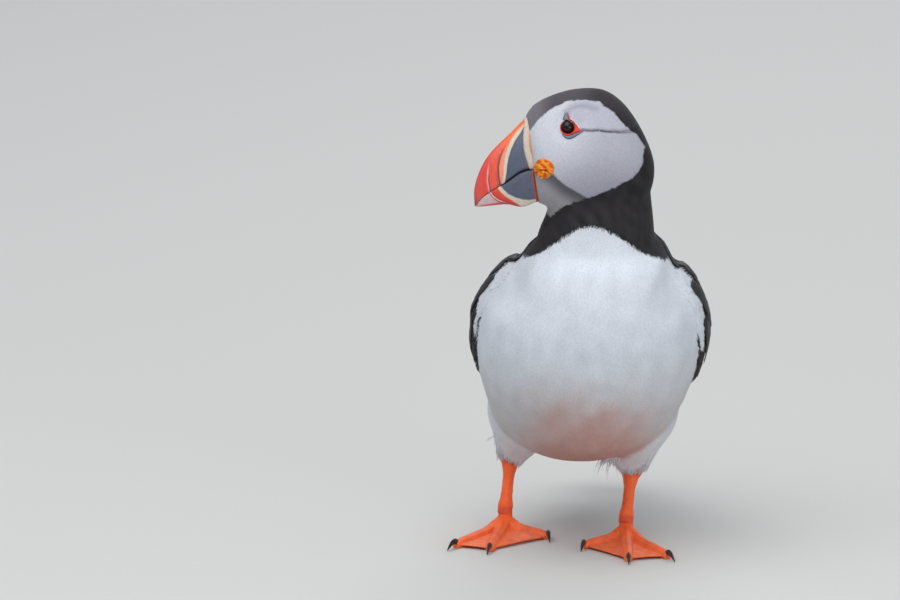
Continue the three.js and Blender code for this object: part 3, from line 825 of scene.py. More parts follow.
# ---------------------------------------------------------------- materials
class Shader:
    """A Principled material built node by node."""

    def __init__(self, name, **sockets):
        self.m = bpy.data.materials.new(name)
        self.m.use_nodes = True
        self.tree = self.m.node_tree
        self.main = self.tree.nodes["Principled BSDF"]
        for key, value in sockets.items():
            self.main.inputs[key.replace("_", " ")].default_value = value

    def node(self, kind, **settings):
        n = self.tree.nodes.new(kind)
        for key, value in settings.items():
            if key in n.inputs:
                n.inputs[key].default_value = value
            elif hasattr(n, key):
                setattr(n, key, value)
        return n

    def link(self, a, b):
        self.tree.links.new(a, b)

    def attribute(self):
        return self.node("ShaderNodeAttribute", attribute_name="Col").outputs["Color"]

    def noise(self, scale, detail=3.0):
        where = self.node("ShaderNodeTexCoord").outputs["Object"]
        n = self.node("ShaderNodeTexNoise", Scale=scale, Detail=detail)
        self.link(where, n.inputs["Vector"])
        return n.outputs["Fac"]

    def ranged(self, source, low, high, to_low, to_high):
        n = self.node("ShaderNodeMapRange")
        self.link(source, n.inputs["Value"])
        for i, v in zip(("From Min", "From Max", "To Min", "To Max"), (low, high, to_low, to_high)):
            n.inputs[i].default_value = v
        return n.outputs["Result"]

    def from_grain(self, grain, low, high):
        """A value that follows the middle of a noise's range."""
        return self.ranged(grain, 0.3, 0.7, low, high)

    def scaled(self, colour, value):
        """The colour made darker or lighter by a value round 1."""
        n = self.node("ShaderNodeVectorMath", operation="SCALE")
        self.link(colour, n.inputs[0])
        self.link(value, n.inputs["Scale"])
        return n.outputs[0]

    def bump(self, height, strength, distance):
        n = self.node("ShaderNodeBump", Strength=strength, Distance=distance)
        self.link(height, n.inputs["Height"])
        self.link(n.outputs["Normal"], self.main.inputs["Normal"])

    def colour(self, source):
        self.link(source, self.main.inputs["Base Color"])

    def roughness(self, source):
        self.link(source, self.main.inputs["Roughness"])


def plumage_material():
    s = Shader("plumage", Roughness=0.78, Sheen_Weight=0.12, Sheen_Roughness=0.4, Specular_IOR_Level=0.3)
    grain = s.noise(1400, 2)
    s.colour(s.scaled(s.attribute(), s.from_grain(grain, 0.93, 1.07)))
    s.bump(grain, 0.25, 0.0002)
    return s.m


def vane_material():
    """Stiff dark feathers: satin, with a fine noise grain in their colour, roughness and relief."""
    s = Shader("vanes", Roughness=0.5, Specular_IOR_Level=0.4)
    grain = s.noise(900, 3)
    s.colour(s.scaled(s.attribute(), s.from_grain(grain, 0.85, 1.15)))
    s.roughness(s.from_grain(grain, 0.42, 0.62))
    s.bump(grain, 0.3, 0.0002)
    return s.m


def leg_material():
    s = Shader("leg_skin", Roughness=0.45, Subsurface_Weight=0.12, Subsurface_Scale=0.002)
    s.main.inputs["Subsurface Radius"].default_value = (1.0, 0.35, 0.15)
    cells = s.node("ShaderNodeTexVoronoi", Scale=1500.0, feature="DISTANCE_TO_EDGE")
    s.link(s.node("ShaderNodeTexCoord").outputs["Object"], cells.inputs["Vector"])
    scales = s.ranged(cells.outputs["Distance"], 0.0, 0.14, 0.0, 1.0)
    s.colour(s.scaled(s.attribute(), s.ranged(scales, 0, 1, 0.88, 1.03)))
    s.roughness(s.from_grain(s.noise(500), 0.36, 0.56))
    s.bump(scales, 0.25, 0.0002)
    return s.m


def horn_material(name, rough, strength=0.15):
    s = Shader(name, Roughness=rough, Specular_IOR_Level=0.35, Coat_Weight=0.05, Coat_Roughness=0.2)
    grain = s.noise(700, 4)
    s.colour(s.scaled(s.attribute(), s.from_grain(grain, 0.92, 1.08)))
    s.roughness(s.from_grain(grain, rough * 0.8, rough * 1.2))
    s.bump(grain, strength, 0.0003)
    return s.m


# ---------------------------------------------------------------- tufts
def body_unwrap(p):
    """A map of the skin's own shape: the head round its centre above, the rest round the body below."""
    h = in_head(p)
    on_head = p[:, 2] > 168
    hu = 0.5 + np.arctan2(h[:, 1], h[:, 0]) / (2 * np.pi)
    hv = 0.5 + np.arcsin(np.clip(h[:, 2] / np.maximum(np.linalg.norm(h, axis=1), 1e-6), -1, 1)) / np.pi
    bu = 0.5 + np.arctan2(p[:, 0] - 3, -(p[:, 1] - 15 * smooth(150, 60, p[:, 2]) + 20)) / (2 * np.pi)
    bv = np.clip(p[:, 2] / 172, 0, 1)
    return np.where(on_head[:, None], np.stack([0.02 + 0.96 * hu, 0.7 + 0.28 * hv], 1),
                    np.stack([0.02 + 0.96 * bu, 0.02 + 0.64 * bv], 1))


PATCH = np.array([(0, -0.0015), (-0.0008, 0), (0.0008, 0), (0, 0.0002), (0, 0.0015)])


def spindles(name, tree, root, n, flow, length, width, height, colours, material):
    """Many slim closed tufts that lie along the skin: a root, a flat middle and a tip."""
    middle, mn, _ = nearest(tree, root + flow * (length * 0.42)[:, None])
    tip, tn, _ = nearest(tree, root + flow * length[:, None])
    side = unit(np.cross(mn, tip - root)) * (width * 0.5)[:, None]
    sits = 0.08 + 0.27 * smooth(0.3, 0.55, height)
    low = middle + mn * (height * sits)[:, None]
    high = middle + mn * (height + width * 0.1)[:, None]
    pts = np.stack([
        root - n * 0.12,
        low - side, low + side, high,
        tip + tn * (height * (sits + 0.15))[:, None],
    ], 1)
    bow = side / width[:, None] * 0.35
    nrm = np.stack([n, mn - bow, mn + bow, mn, tn], 1)
    tri = np.array([(0, 1, 3), (0, 3, 2), (0, 2, 1), (4, 3, 1), (4, 2, 3), (4, 1, 2)])
    count = len(root)
    faces = (tri[None] + 5 * np.arange(count)[:, None, None]).reshape(-1, 3)
    uv = (body_unwrap(root)[:, None] + PATCH[None]).reshape(-1, 2)
    first, last = colours
    half = mix(first, last, np.full(count, 0.42))
    # painted shade at each tuft's root, and a touch of painted light at its tip
    rgb = np.stack([first * 0.88, half * 0.98, half * 0.98, half, last * 1.02], 1).reshape(-1, 3)
    return make_object(name, pts.reshape(-1, 3), faces, rgb, material, uv, nrm.reshape(-1, 3))


def scatter(co, tri, weight, count, rng):
    """Points spread over triangles, as dense as weight says at each vertex."""
    a, b, c = co[tri[:, 0]], co[tri[:, 1]], co[tri[:, 2]]
    area = np.linalg.norm(np.cross(b - a, c - a), axis=1) / 2
    pick = np.cumsum(area * weight[tri].mean(1))
    at = (np.arange(count) + rng.random(count)) / count * pick[-1]
    t = np.searchsorted(pick, at).clip(0, len(tri) - 1)
    u, v = rng.random(count), rng.random(count)
    over = u + v > 1
    u[over], v[over] = 1 - u[over], 1 - v[over]
    corner = np.stack([1 - u - v, u, v], 1)
    return t, corner


def flow_at(p, n, share):
    """Which way the feathers lie, along the surface."""
    h = in_head(p)
    high = smooth(-4, 14, h[:, 2])
    about = np.stack([-(h[:, 2] + 10), 0 * h[:, 0], h[:, 0]], 1)
    head = mix(np.tile([-1, 0, -0.5], (len(p), 1)), unit(about), high) @ HEAD.T
    body = np.tile([0.0, 0.55, -1.0], (len(p), 1))
    body[:, 1] += 0.9 * smooth(20, 60, p[:, 1])
    body[:, 0] += 0.25 * np.sign(p[:, 0] - 3) * smooth(0, 30, np.abs(p[:, 0] - 3)) * smooth(-20, -50, p[:, 1])
    neck = np.tile([0.0, 0.1, -1.0], (len(p), 1))
    tail = np.tile([0.0, 0.8, -0.62], (len(p), 1))
    thigh = np.tile([0.0, 0.35, -1.0], (len(p), 1))
    by_node = [head, neck, body, tail, tail, tail, thigh, thigh]
    total = sum(share[:, k:k + 1] * unit(d) for k, d in enumerate(by_node))
    swirl = np.stack([waves(p, 16, 31), waves(p, 16, 32), waves(p, 16, 33)], 1) * 0.13
    total = unit(total) + swirl
    return unit(total - n * (total * n).sum(1, keepdims=True))


def coat(name, tree, co, n, tri, share, weight, count, rng, material):
    """Tufts laid over the skin as thickly as weight says."""
    t, corner = scatter(co, tri, weight, count, rng)
    blend = lambda values: (values[tri[t]] * corner[..., None]).sum(1)
    root, normal, member = blend(co), unit(blend(n)), blend(share)
    size = member @ COAT
    draft = 1.0
    flow = flow_at(root, normal, member)
    across = np.cross(normal, flow)
    flow = unit(flow + across * rng.normal(0, 0.16, count)[:, None])
    long = size[:, 1] * rng.uniform(0.75, 1.25, count)
    wide = size[:, 2] * draft * rng.uniform(0.75, 1.3, count)
    high = size[:, 0] * rng.uniform(0.75, 1.0, count)
    middle, late, tip = (root + flow * (reach * long)[:, None] for reach in (0.45, 0.75, 1.0))
    keep = ~(bare(root) | bare(middle) | in_lids(late) | in_lids(tip))
    root, normal, member, flow = root[keep], normal[keep], member[keep], flow[keep]
    long, wide, high = long[keep], wide[keep], high[keep]
    on_head = member[:, ON_HEAD] > 0.5
    tone = (1 + np.where(on_head, 0.055, 0.03) * rng.uniform(-1, 1, len(root)))[:, None]
    first, last = markings(root, normal, member), markings(root + flow * long[:, None], normal, member)
    # a marking's border is crisp: the tufts on it are short and of their root's colour
    border = (np.abs(first - last).max(1) > 0.12) & (root[:, 2] > 100)
    long[border] *= np.where(on_head[border], 0.5, 0.75)
    loose_ends = ~border
    first[loose_ends] = markings(
        (root + flow * (0.3 * long)[:, None])[loose_ends], normal[loose_ends], member[loose_ends])
    last = mix(first, last, np.where(border, 0.0, 0.2))
    rgb = (first * tone, last * tone)
    return spindles(name, tree, root, normal, flow, long, wide, high, rgb, material)


# ---------------------------------------------------------------- closed sheets and tubes
def outward(points, faces):
    """The same faces, turned so that the solid's volume is positive."""
    a, b, c = ((points - points.mean(0))[faces[:, k]] for k in range(3))
    return faces if (a * np.cross(b, c)).sum() > 0 else faces[:, ::-1]


def ring_angles(count):
    return np.arange(count) * 2 * np.pi / count


def tube(rings):
    """A closed solid of rings of points, (rows, ring, 3), with a middle point at either end."""
    rows, ring = rings.shape[:2]
    points = rings.reshape(-1, 3)
    i, j = np.meshgrid(np.arange(rows - 1), np.arange(ring), indexing="ij")
    a, b = i * ring + j, i * ring + (j + 1) % ring
    c, d = a + ring, b + ring
    faces = np.concatenate([np.stack([a, b, d], -1).reshape(-1, 3), np.stack([a, d, c], -1).reshape(-1, 3)])
    start, end = len(points), len(points) + 1
    points = np.vstack([points, rings[0].mean(0), rings[-1].mean(0)])
    j = np.arange(ring)
    k = (j + 1) % ring
    last = (rows - 1) * ring
    faces = np.vstack([faces, np.stack([np.full(ring, start), k, j], 1),
                       np.stack([np.full(ring, end), last + j, last + k], 1)])
    return points, outward(points, faces)


def tubes(name, rings, rgb, root, across, onward, material):
    """One piece of many closed tubes, (count, steps, ring, 3), each with its own place on the map.

    The place lies round its root; across and onward say how its ring and its steps spread there.
    """
    count, steps, ring = rings.shape[:3]
    faces = tube(rings[0])[1]
    ends = np.stack([rings[:, 0].mean(1), rings[:, -1].mean(1)], 1)
    points = np.concatenate([rings.reshape(count, -1, 3), ends], 1)
    faces = (faces[None] + points.shape[1] * np.arange(count)[:, None, None]).reshape(-1, 3)
    spot = np.stack([np.tile(across, steps), np.repeat((onward - 0.5) * 0.003, ring)], 1)
    spot = np.vstack([spot, (0, -0.0015), (0, 0.0015)])
    uv = (body_unwrap(root)[:, None] + spot[None]).reshape(-1, 2)
    return make_object(name, points.reshape(-1, 3), faces, rgb, material, uv)


def vertex_normals(points, faces):
    a, b, c = (points[faces[:, k]] for k in range(3))
    n = np.cross(b - a, c - a)
    return unit(np.stack([
        sum(np.bincount(faces[:, k], n[:, axis], len(points)) for k in range(3)) for axis in range(3)
    ], 1))


def slab(top, thick):
    """A closed sheet: a grid of points (rows, columns, 3), and the same sunk by thick along out."""
    return tube(np.concatenate([top, top[:, ::-1] - thick], 1))


def sight_line(side):
    """The way from the head out to the eye of one who looks at that cheek."""
    return (SIGHT[2] * (1, side, 1)) @ HEAD.T


def on_face(tree, spots, side):
    """Points of the skin at spots of the head's side view, and its normals there."""
    start = spots @ SIGHT[:2] + 60 * SIGHT[2]
    start[:, 1] *= side
    way = -sight_line(side)
    start = from_head(start)
    loc, nrm = [], []
    for p in start:
        hit = tree.ray_cast(Vector(p), Vector(way))
        if hit[0] is None:
            hit = tree.find_nearest(Vector(p + way * 52))
        loc.append(hit[0])
        nrm.append(hit[1])
    nrm = np.array(nrm)
    nrm = unit(nrm + nrm.mean(0) * 1.5)
    return np.array(loc), unit(nrm + LEFT * side * 0.6)


# ---------------------------------------------------------------- bill
CULMEN = np.array([
    (28.0, 17.0), (31.6, 14.6), (38.7, 7.6), (47.6, -1.2), (52.6, -9.1), (55.4, -18), (55.2, -26.7)])
GAPE = np.array([
    (25.5, -8.4), (29, -8.6), (35, -10.4), (41, -14.8), (46.6, -18.4), (51.6, -22), (54.6, -25.9)])
GONYS = np.array([(22, -22.8), (27, -24.6), (33, -26.7), (40, -25.6), (46, -26), (51, -26.5), (54.2, -26.7)])
BILL_HALF = np.array([8.3, 8.3, 7.6, 6.2, 4.6, 3, 1.2])
BAND_FRONT = np.array([
    (31.8, 13.0), (31.9, 10.2), (32.3, 5.5), (32.1, 0.9), (31.4, -2.8), (30.2, -6.5), (29.1, -10.2)])
SLATE_FRONT = np.array([
    (31.4, 11.3), (33.2, 7.8), (36.0, 3.7), (37.9, -0.5),
    (39.0, -4.2), (39.6, -7.4), (40.0, -11.1), (40.6, -15.0)])
CREAM_FRONT = np.array([
    (31.9, 12.0), (34.6, 9.2), (37.9, 4.4), (39.5, 0.0),
    (40.6, -3.7), (41.2, -7.4), (41.3, -11.1), (42.0, -15.5)])
GROOVE_ONE = np.array([(38.3, 4.6), (40.9, 0.9), (43.0, -3.7), (43.9, -8.3), (43.7, -12.9), (43.0, -16.2)])
GROOVE_TWO = np.array([(47.0, -1.8), (47.8, -5.5), (48.5, -10.2), (48.7, -14.8), (47.8, -19.9)])
LOW_SLATE = np.array([
    (43.0, -17.1), (41.6, -18.5), (39.3, -20.8), (36.0, -22.4), (32.3, -23.4), (29.6, -23.6), (26.6, -23.1)])
LOW_CREAM = np.array([
    (43.9, -18.0), (43.0, -19.4), (40.6, -21.7), (37.9, -23.4), (34.6, -25.4), (32.3, -27.3)])
LOW_GROOVE = np.array([
    (47.1, -20.6), (46.0, -22.0), (43.9, -23.6), (41.6, -24.6), (39.2, -25.2), (37.4, -25.9)])
SLATE, IVORY = srgb(90, 97, 116), srgb(208, 193, 176)
SCARLET, FLAME, SALMON, PLUM = srgb(216, 72, 62), srgb(242, 112, 44), srgb(232, 142, 112), srgb(88, 44, 56)
TIP_RED, MIDDLE_RED, BASE_RED = srgb(206, 84, 78), srgb(226, 86, 66), srgb(180, 64, 42)
SLATE_EDGE, SLATE_LOW, LIP_GREY = srgb(60, 66, 84), srgb(48, 50, 60), srgb(172, 150, 152)
GROOVE_PINK, HOOK_BROWN, BAND_ORANGE = srgb(226, 172, 176), srgb(92, 60, 58), srgb(206, 122, 74)
LOW_PINK, LOW_RED, LOW_ORANGE = srgb(196, 170, 172), srgb(204, 66, 48), srgb(228, 112, 70)
LOW_SLATE_DARK, LOW_LIP_GREY = srgb(52, 54, 66), srgb(176, 158, 160)
LOW_GROOVE_PALE, LOW_GROOVE_DARK = srgb(232, 206, 204), srgb(120, 36, 34)


def upper_look(q, v):
    """Colour and relief of the upper mandible, v from 0 at the culmen to 1 at the gape."""
    band, slate, cream = past(q, BAND_FRONT), past(q, SLATE_FRONT), past(q, CREAM_FRONT)
    one, two = past(q, GROOVE_ONE), past(q, GROOVE_TWO)
    deep = smooth(0.08, 0.3, v)
    c = layered(
        mix(SCARLET, TIP_RED, smooth(2, 6, two)),
        (MIDDLE_RED, smooth(0.8, -0.8, two)),
        (FLAME, smooth(0.42, 0.1, v) * smooth(46, 36, q[:, 0])),
        (SALMON, smooth(0.3, -0.9, one) * smooth(0.1, 0.3, v)),
        (IVORY, smooth(0.25, -0.25, cream) * smooth(0.02, 0.12, v)),
        (SLATE * 0.9, smooth(0.15, -0.15, slate)),
        (SLATE_EDGE, smooth(-1.2, 0.0, slate) * smooth(0.15, -0.1, slate) * 0.6),
        (SLATE_LOW, smooth(0.9, 1.0, v) * smooth(0.1, -0.2, slate) * 0.8),
        (PLUM, bell(one, 0.4) * deep * 0.9),
        (PLUM, bell(one - 1.1, 0.2) * deep * smooth(0.4, 0.6, v) * 0.6),
        (GROOVE_PINK, bell(two - 0.1, 0.3) * deep * 0.85),
        (PLUM, bell(two + 0.55, 0.3) * deep * smooth(0.3, 0.5, v) * 0.7),
        (HOOK_BROWN, smooth(52.5, 55.0, q[:, 0]) * smooth(-21, -25.5, q[:, 1]) * 0.9),
        (LIP_GREY, smooth(0.965, 0.99, v) * smooth(0, 0.5, slate) * 0.7),
        (IVORY * 0.92, smooth(0.12, -0.12, band)),
        (BAND_ORANGE, smooth(-2.3, -2.8, band) * 0.8),
    )
    relief = 0.6 * smooth(0.0, -0.45, band) + 0.12 * smooth(0.1, -0.1, cream) * smooth(-0.2, 0.2, slate)
    relief -= deep * (0.36 * bell(one, 0.34) + 0.16 * bell(one - 1.0, 0.25) + 0.34 * bell(two, 0.4))
    relief += deep * 0.12 * bell(two - 1.5, 0.8) + deep * 0.14 * bell(one - 2.4, 1.0)
    return c, relief


def lower_look(q, v):
    """Colour and relief of the lower mandible, v from 0 at the gonys to 1 at the gape."""
    slate, cream, groove = past(q, LOW_SLATE), past(q, LOW_CREAM), past(q, LOW_GROOVE)
    edge = past(q, FACE_EDGE)
    c = layered(
        mix(LOW_PINK, SCARLET, smooth(0.22, 0.1, v) * smooth(0.2, 1.2, groove)),
        (LOW_RED, smooth(1.0, 0.2, groove)),
        (LOW_ORANGE, smooth(1.2, 0.0, cream)),
        (IVORY, smooth(0.3, -0.3, cream)),
        (SLATE * 0.82, smooth(0.25, -0.25, slate)),
        (LOW_SLATE_DARK, smooth(0.86, 1.0, v) * smooth(0.0, -1.0, slate) * 0.8),
        (LOW_GROOVE_PALE, bell(groove, 0.24) * smooth(0.05, 0.2, v)),
        (LOW_GROOVE_DARK, bell(groove - 0.55, 0.22) * 0.7 + bell(groove + 0.6, 0.25) * 0.5),
        (LOW_LIP_GREY, smooth(0.96, 0.99, v) * smooth(0, 0.5, slate) * 0.7),
        (HOOK_BROWN, smooth(52.5, 55.0, q[:, 0]) * 0.8),
        (BASE_RED, smooth(0.32, 0.12, edge)),
    )
    relief = 0.2 * smooth(-0.3, 0.0, slate) * smooth(0.3, 0.0, cream) - 0.34 * bell(groove, 0.32)
    relief -= 0.16 * bell(cream - 1.1, 0.35) * smooth(0.1, 0.3, v) - 0.25 * smooth(0.6, 0.2, edge)
    return c, relief


def mandible(name, outer, inner, outer_share, look, material):
    """Half of the bill between its outer edge and the gape, coloured and grooved as look says."""
    rows, ring = ((170, 150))
    t = np.linspace(0, 1, rows)[:, None]
    turn = ring_angles(ring)[None]
    v = (0.5 - 0.5 * np.cos(turn)) * np.ones_like(t)
    edge, lips = spline(outer, t[:, 0])[:, None], spline(inner, t[:, 0])[:, None]
    p = edge + (lips - edge) * v[..., None]
    wide = np.interp(t, np.linspace(0, 1, len(BILL_HALF)), BILL_HALF)
    side = np.sin(turn)
    bulge = np.sign(side) * np.abs(side) ** (0.55 - 0.33 * v)
    out = wide * (outer_share + (1 - outer_share) * v**0.8) * bulge
    rings = from_head(np.stack([p[..., 0], out, p[..., 1]], -1))
    # behind the edge of the feathers the horn narrows and dives under the skin
    hidden = smooth(0.1, -2.0, past(seen(rings).reshape(-1, 2), FACE_EDGE)).reshape(out.shape)
    points, faces = tube(from_head(np.stack([p[..., 0], out * (1 - 0.4 * hidden), p[..., 1]], -1)))
    v = np.append(v.ravel(), (0.5, 0.5))
    normal = vertex_normals(points, faces)
    colours, relief = look(seen(points), v)
    flank = smooth(0.2, 0.6, np.abs(normal @ LEFT))
    return make_object(name, points + normal * (relief * flank)[:, None], faces, colours, material)


# ---------------------------------------------------------------- rosette, eye and claws
# the rosette's oranges and crack colour paint light on its folds' ridges and shade in their troughs
ROSETTE_DEEP, ROSETTE_BRIGHT, ROSETTE_CRACK = srgb(206, 92, 8), srgb(242, 142, 16), srgb(150, 52, 20)
GAPE_YELLOW = srgb(226, 196, 128)
# the middle about which the rosette's folds run, and the crack across it
GAPE_PIVOT = np.array([28.2, -11.6])
ROSETTE_LINE = np.array([(27.0, -11.4), (23.0, -9.6), (20.6, -10.4), (19.4, -12.0)])
PUPIL, IRIS, IRIS_RIM = srgb(5, 5, 6), srgb(24, 19, 19), srgb(10, 9, 10)
# the first is a painted highlight, a pale crescent on the eye along the lid
LID_GLINT, EYE_BACK = srgb(196, 190, 198), srgb(12, 11, 13)
# the second is painted shade where the lid meets the eyeball
LID_DEEP, LID_INNER_SHADE = srgb(190, 44, 34), srgb(44, 18, 18)
CLAW_DARK, CLAW_PALE = srgb(30, 25, 26), srgb(62, 50, 50)


def rosette(side, tree, material):
    """The wrinkled orange skin at the corner of the mouth."""
    rows, ring = 26, 72
    a = ring_angles(ring)
    share = np.linspace(0, 1, rows)[:, None] * np.ones((1, ring))
    wavy = 1 + 0.03 * np.sin(3 * a + 1) + 0.012 * np.sin(11 * a)
    round_spot = np.stack([-np.cos(a) * share, np.sin(a) * share], -1)
    spots = ROSETTE_SPOT + round_spot * ROSETTE_SIZE * wavy[:, None]
    q = spots.reshape(-1, 2)
    base, n = on_face(tree, q, side)
    pivot = np.hypot(*(q - GAPE_PIVOT).T)
    angle = np.arctan2(q[:, 1] - GAPE_PIVOT[1], GAPE_PIVOT[0] - q[:, 0])
    round_it = np.sin(2 * np.pi * pivot / 2.5 + 1.9 * waves(base, 5.0, 51))
    fold = 0.62 * round_it + 0.62 * np.sin(10 * angle + 1.6 * waves(base, 3.0, 53))
    fine = waves(base, 1.1, 52)
    rim = smooth(1.0, 0.8, share.ravel())
    height = 0.2 + 1.7 * (1 - share.ravel() ** 2.6) + rim * (0.34 * fold + 0.16 * fine)
    crack = bell(past(q, ROSETTE_LINE), 0.32)
    height -= 0.5 * crack * rim
    yellow = smooth(0.4, -0.4, past(q, GAPE_FOLD[::-1])) * smooth(18.5, 21.5, q[:, 0])
    # painted light and shade: brighter on the folds' ridges, darker in their troughs
    c = mix(ROSETTE_DEEP, ROSETTE_BRIGHT, smooth(-1.0, 0.5, fold + 0.4 * fine))
    # painted shade in the crack and the deepest troughs
    c = mix(c, ROSETTE_CRACK, crack * 0.7 + bell(fold + 1.15, 0.2) * 0.4)
    # the gape's own yellow, shown only on the ridges as painted light
    c = mix(c, GAPE_YELLOW, yellow * smooth(-0.8, 0.4, fold))
    points = base + n * height[:, None]
    top = points.reshape(rows, ring, 3)
    under = (base - n * 0.8).reshape(rows, ring, 3)
    rings = np.concatenate([top[1:], under[::-1][:-1]], 0)
    points, faces = tube(rings)
    over = c.reshape(rows, ring, 3)
    colours = np.vstack([over[1:].reshape(-1, 3), over[::-1][:-1].reshape(-1, 3), c[:1], c[:1]])
    return make_object(f"rosette_skin_{side_name(side)}", points, faces, colours, material)


def side_name(side):
    return "left" if side > 0 else "right"


def eye_place(side, tree):
    """The eyeball's middle and the way it looks."""
    spot, _ = on_face(tree, EYE_SPOT[None], side)
    out = unit(sight_line(side))
    return spot[0] + out * (1.5 - EYE_RADIUS), out


def eyeball(side, tree, material):
    """A glossy dark ball, a little fuller in front, with a pale crescent painted along the lid at its upper
    rear as a highlight.
    """
    middle, out = eye_place(side, tree)
    rows, ring = 40, 56
    polar_angle = np.linspace(0, np.pi, rows + 2)[1:-1][:, None]
    a = ring_angles(ring)[None]
    back = unit(-AHEAD + out * (AHEAD @ out))
    up = np.cross(out, back) * side
    up = up if up @ ABOVE > 0 else -up
    r = np.sin(polar_angle)
    bulge = 1 + 0.035 * bell(polar_angle, 0.5)
    points = middle + EYE_RADIUS * bulge[..., None] * (
        out * (np.cos(polar_angle) * np.ones_like(a))[..., None]
        + back * (r * np.cos(a))[..., None] + up * (r * np.sin(a))[..., None])
    spot = seen(points) - EYE_SPOT
    wide = np.hypot(spot[..., 0], spot[..., 1]) + 9 * (polar_angle > 1.6)
    toward = np.arctan2(spot[..., 1], -spot[..., 0])
    c = mix(PUPIL, IRIS, smooth(1.6, 1.8, wide))
    c = mix(c, IRIS_RIM, smooth(2.4, 2.8, wide))
    # painted highlight: a pale crescent along the lid at the eye's upper rear
    rim = smooth(2.84, 2.94, wide) * smooth(0.5, 0.85, np.cos(toward - 0.6)) * (wide < 5)
    c = mix(c, LID_GLINT, rim * 0.9)
    points, faces = tube(points)
    colours = np.vstack([c.reshape(-1, 3), EYE_BACK, EYE_BACK])
    return make_object(f"eyeball_{side_name(side)}", points, faces, colours, material)


def eye_lids(side, tree):
    """The red ring of skin round the eye, with its pointed rear corner."""
    middle, out = eye_place(side, tree)
    rows, ring = 12, 96
    a = ring_angles(ring)
    r = ring_radius(np.degrees(a))
    share = np.linspace(0, 1, rows)[:, None]
    radius = LID_RADIUS + (r[None] - LID_RADIUS) * share
    spots = EYE_SPOT + np.stack([-np.cos(a) * radius, np.sin(a) * radius], -1)
    base, n = on_face(tree, spots.reshape(-1, 2), side)
    base, n = base.reshape(rows, ring, 3), n.reshape(rows, ring, 3)
    away = np.linalg.norm((base - middle) - out * ((base - middle) @ out)[..., None], axis=-1)
    ball = middle + (base - middle) - out * ((base - middle) @ out)[..., None]
    ball = ball + out * np.sqrt(np.maximum(EYE_RADIUS**2 - away**2, 0.5))[..., None]
    inner = smooth(0.55, 0.15, (radius - LID_RADIUS) / 0.9)[..., None]
    lip = 0.18 * bell(radius - LID_RADIUS - 0.2, 0.2) + 0.05 * np.sin(a * 31)[None] * smooth(0.1, 0.4, share)
    skin = base + n * (0.95 - 0.75 * smooth(0.6, 1.0, share))[..., None]
    on_ball = ball - out * (0.25 * smooth(0.16, 0.0, share))[..., None]
    top = skin * (1 - inner) + on_ball * inner + out * lip[..., None]
    under = base - n * 0.9
    rings = np.concatenate([top, under[::-1]], 0)
    rows2 = len(rings)
    points = rings.reshape(-1, 3)
    i, j = np.meshgrid(np.arange(rows2), np.arange(ring), indexing="ij")
    p, q = i * ring + j, i * ring + (j + 1) % ring
    r2, s2 = ((i + 1) % rows2) * ring + j, ((i + 1) % rows2) * ring + (j + 1) % ring
    halves = [np.stack(corners, -1).reshape(-1, 3) for corners in ((p, q, s2), (p, s2, r2))]
    faces = outward(points, np.concatenate(halves))
    tone = (0.18 * np.sin(a * 31)[None] + 0.1) * np.ones((rows2, 1))
    # painted shade on the lid's inner edge, where it meets the eyeball
    inside = np.concatenate([smooth(0.16, 0.05, radius - LID_RADIUS), np.zeros_like(radius)])
    c = mix(LID_RED, LID_DEEP, smooth(0.0, 0.6, tone))
    c = mix(c, LID_INNER_SHADE, inside).reshape(-1, 3)
    return make_object(f"lids_{side_name(side)}", points, faces, c)


def strip(name, side, tree, line, half, low, dome, colour, edge_colour, material=None):
    """A domed strip along a line in side view."""
    rows, cols = 28, 11
    t = np.linspace(0, 1, rows)
    mid = spline(line, t)
    way = unit(np.gradient(mid, axis=0))
    across = np.stack([-way[:, 1], way[:, 0]], 1)
    w = np.interp(t * (len(half) - 1), np.arange(len(half)), half)
    c = np.linspace(-1, 1, cols)
    spots = mid[:, None] + across[:, None] * (w[:, None] * c[None])[..., None]
    base, n = on_face(tree, spots.reshape(-1, 2), side)
    grow = dome * np.sqrt(np.clip(1 - c**2, 0, 1))[None] * np.clip(w / w.max() * 1.5, 0.2, 1)[:, None]
    top = (base + n * (low + grow).reshape(-1, 1)).reshape(rows, cols, 3)
    points, faces = slab(top, (n * 1.6).reshape(rows, cols, 3)[:, ::-1])
    shade = np.concatenate([c, c[::-1]])[None] * np.ones((rows, 1))
    colours = mix(colour, edge_colour, smooth(0.55, 0.95, np.abs(shade))).reshape(-1, 3)
    colours = np.vstack([colours, colour, colour])
    return make_object(name, points, faces, colours, material)


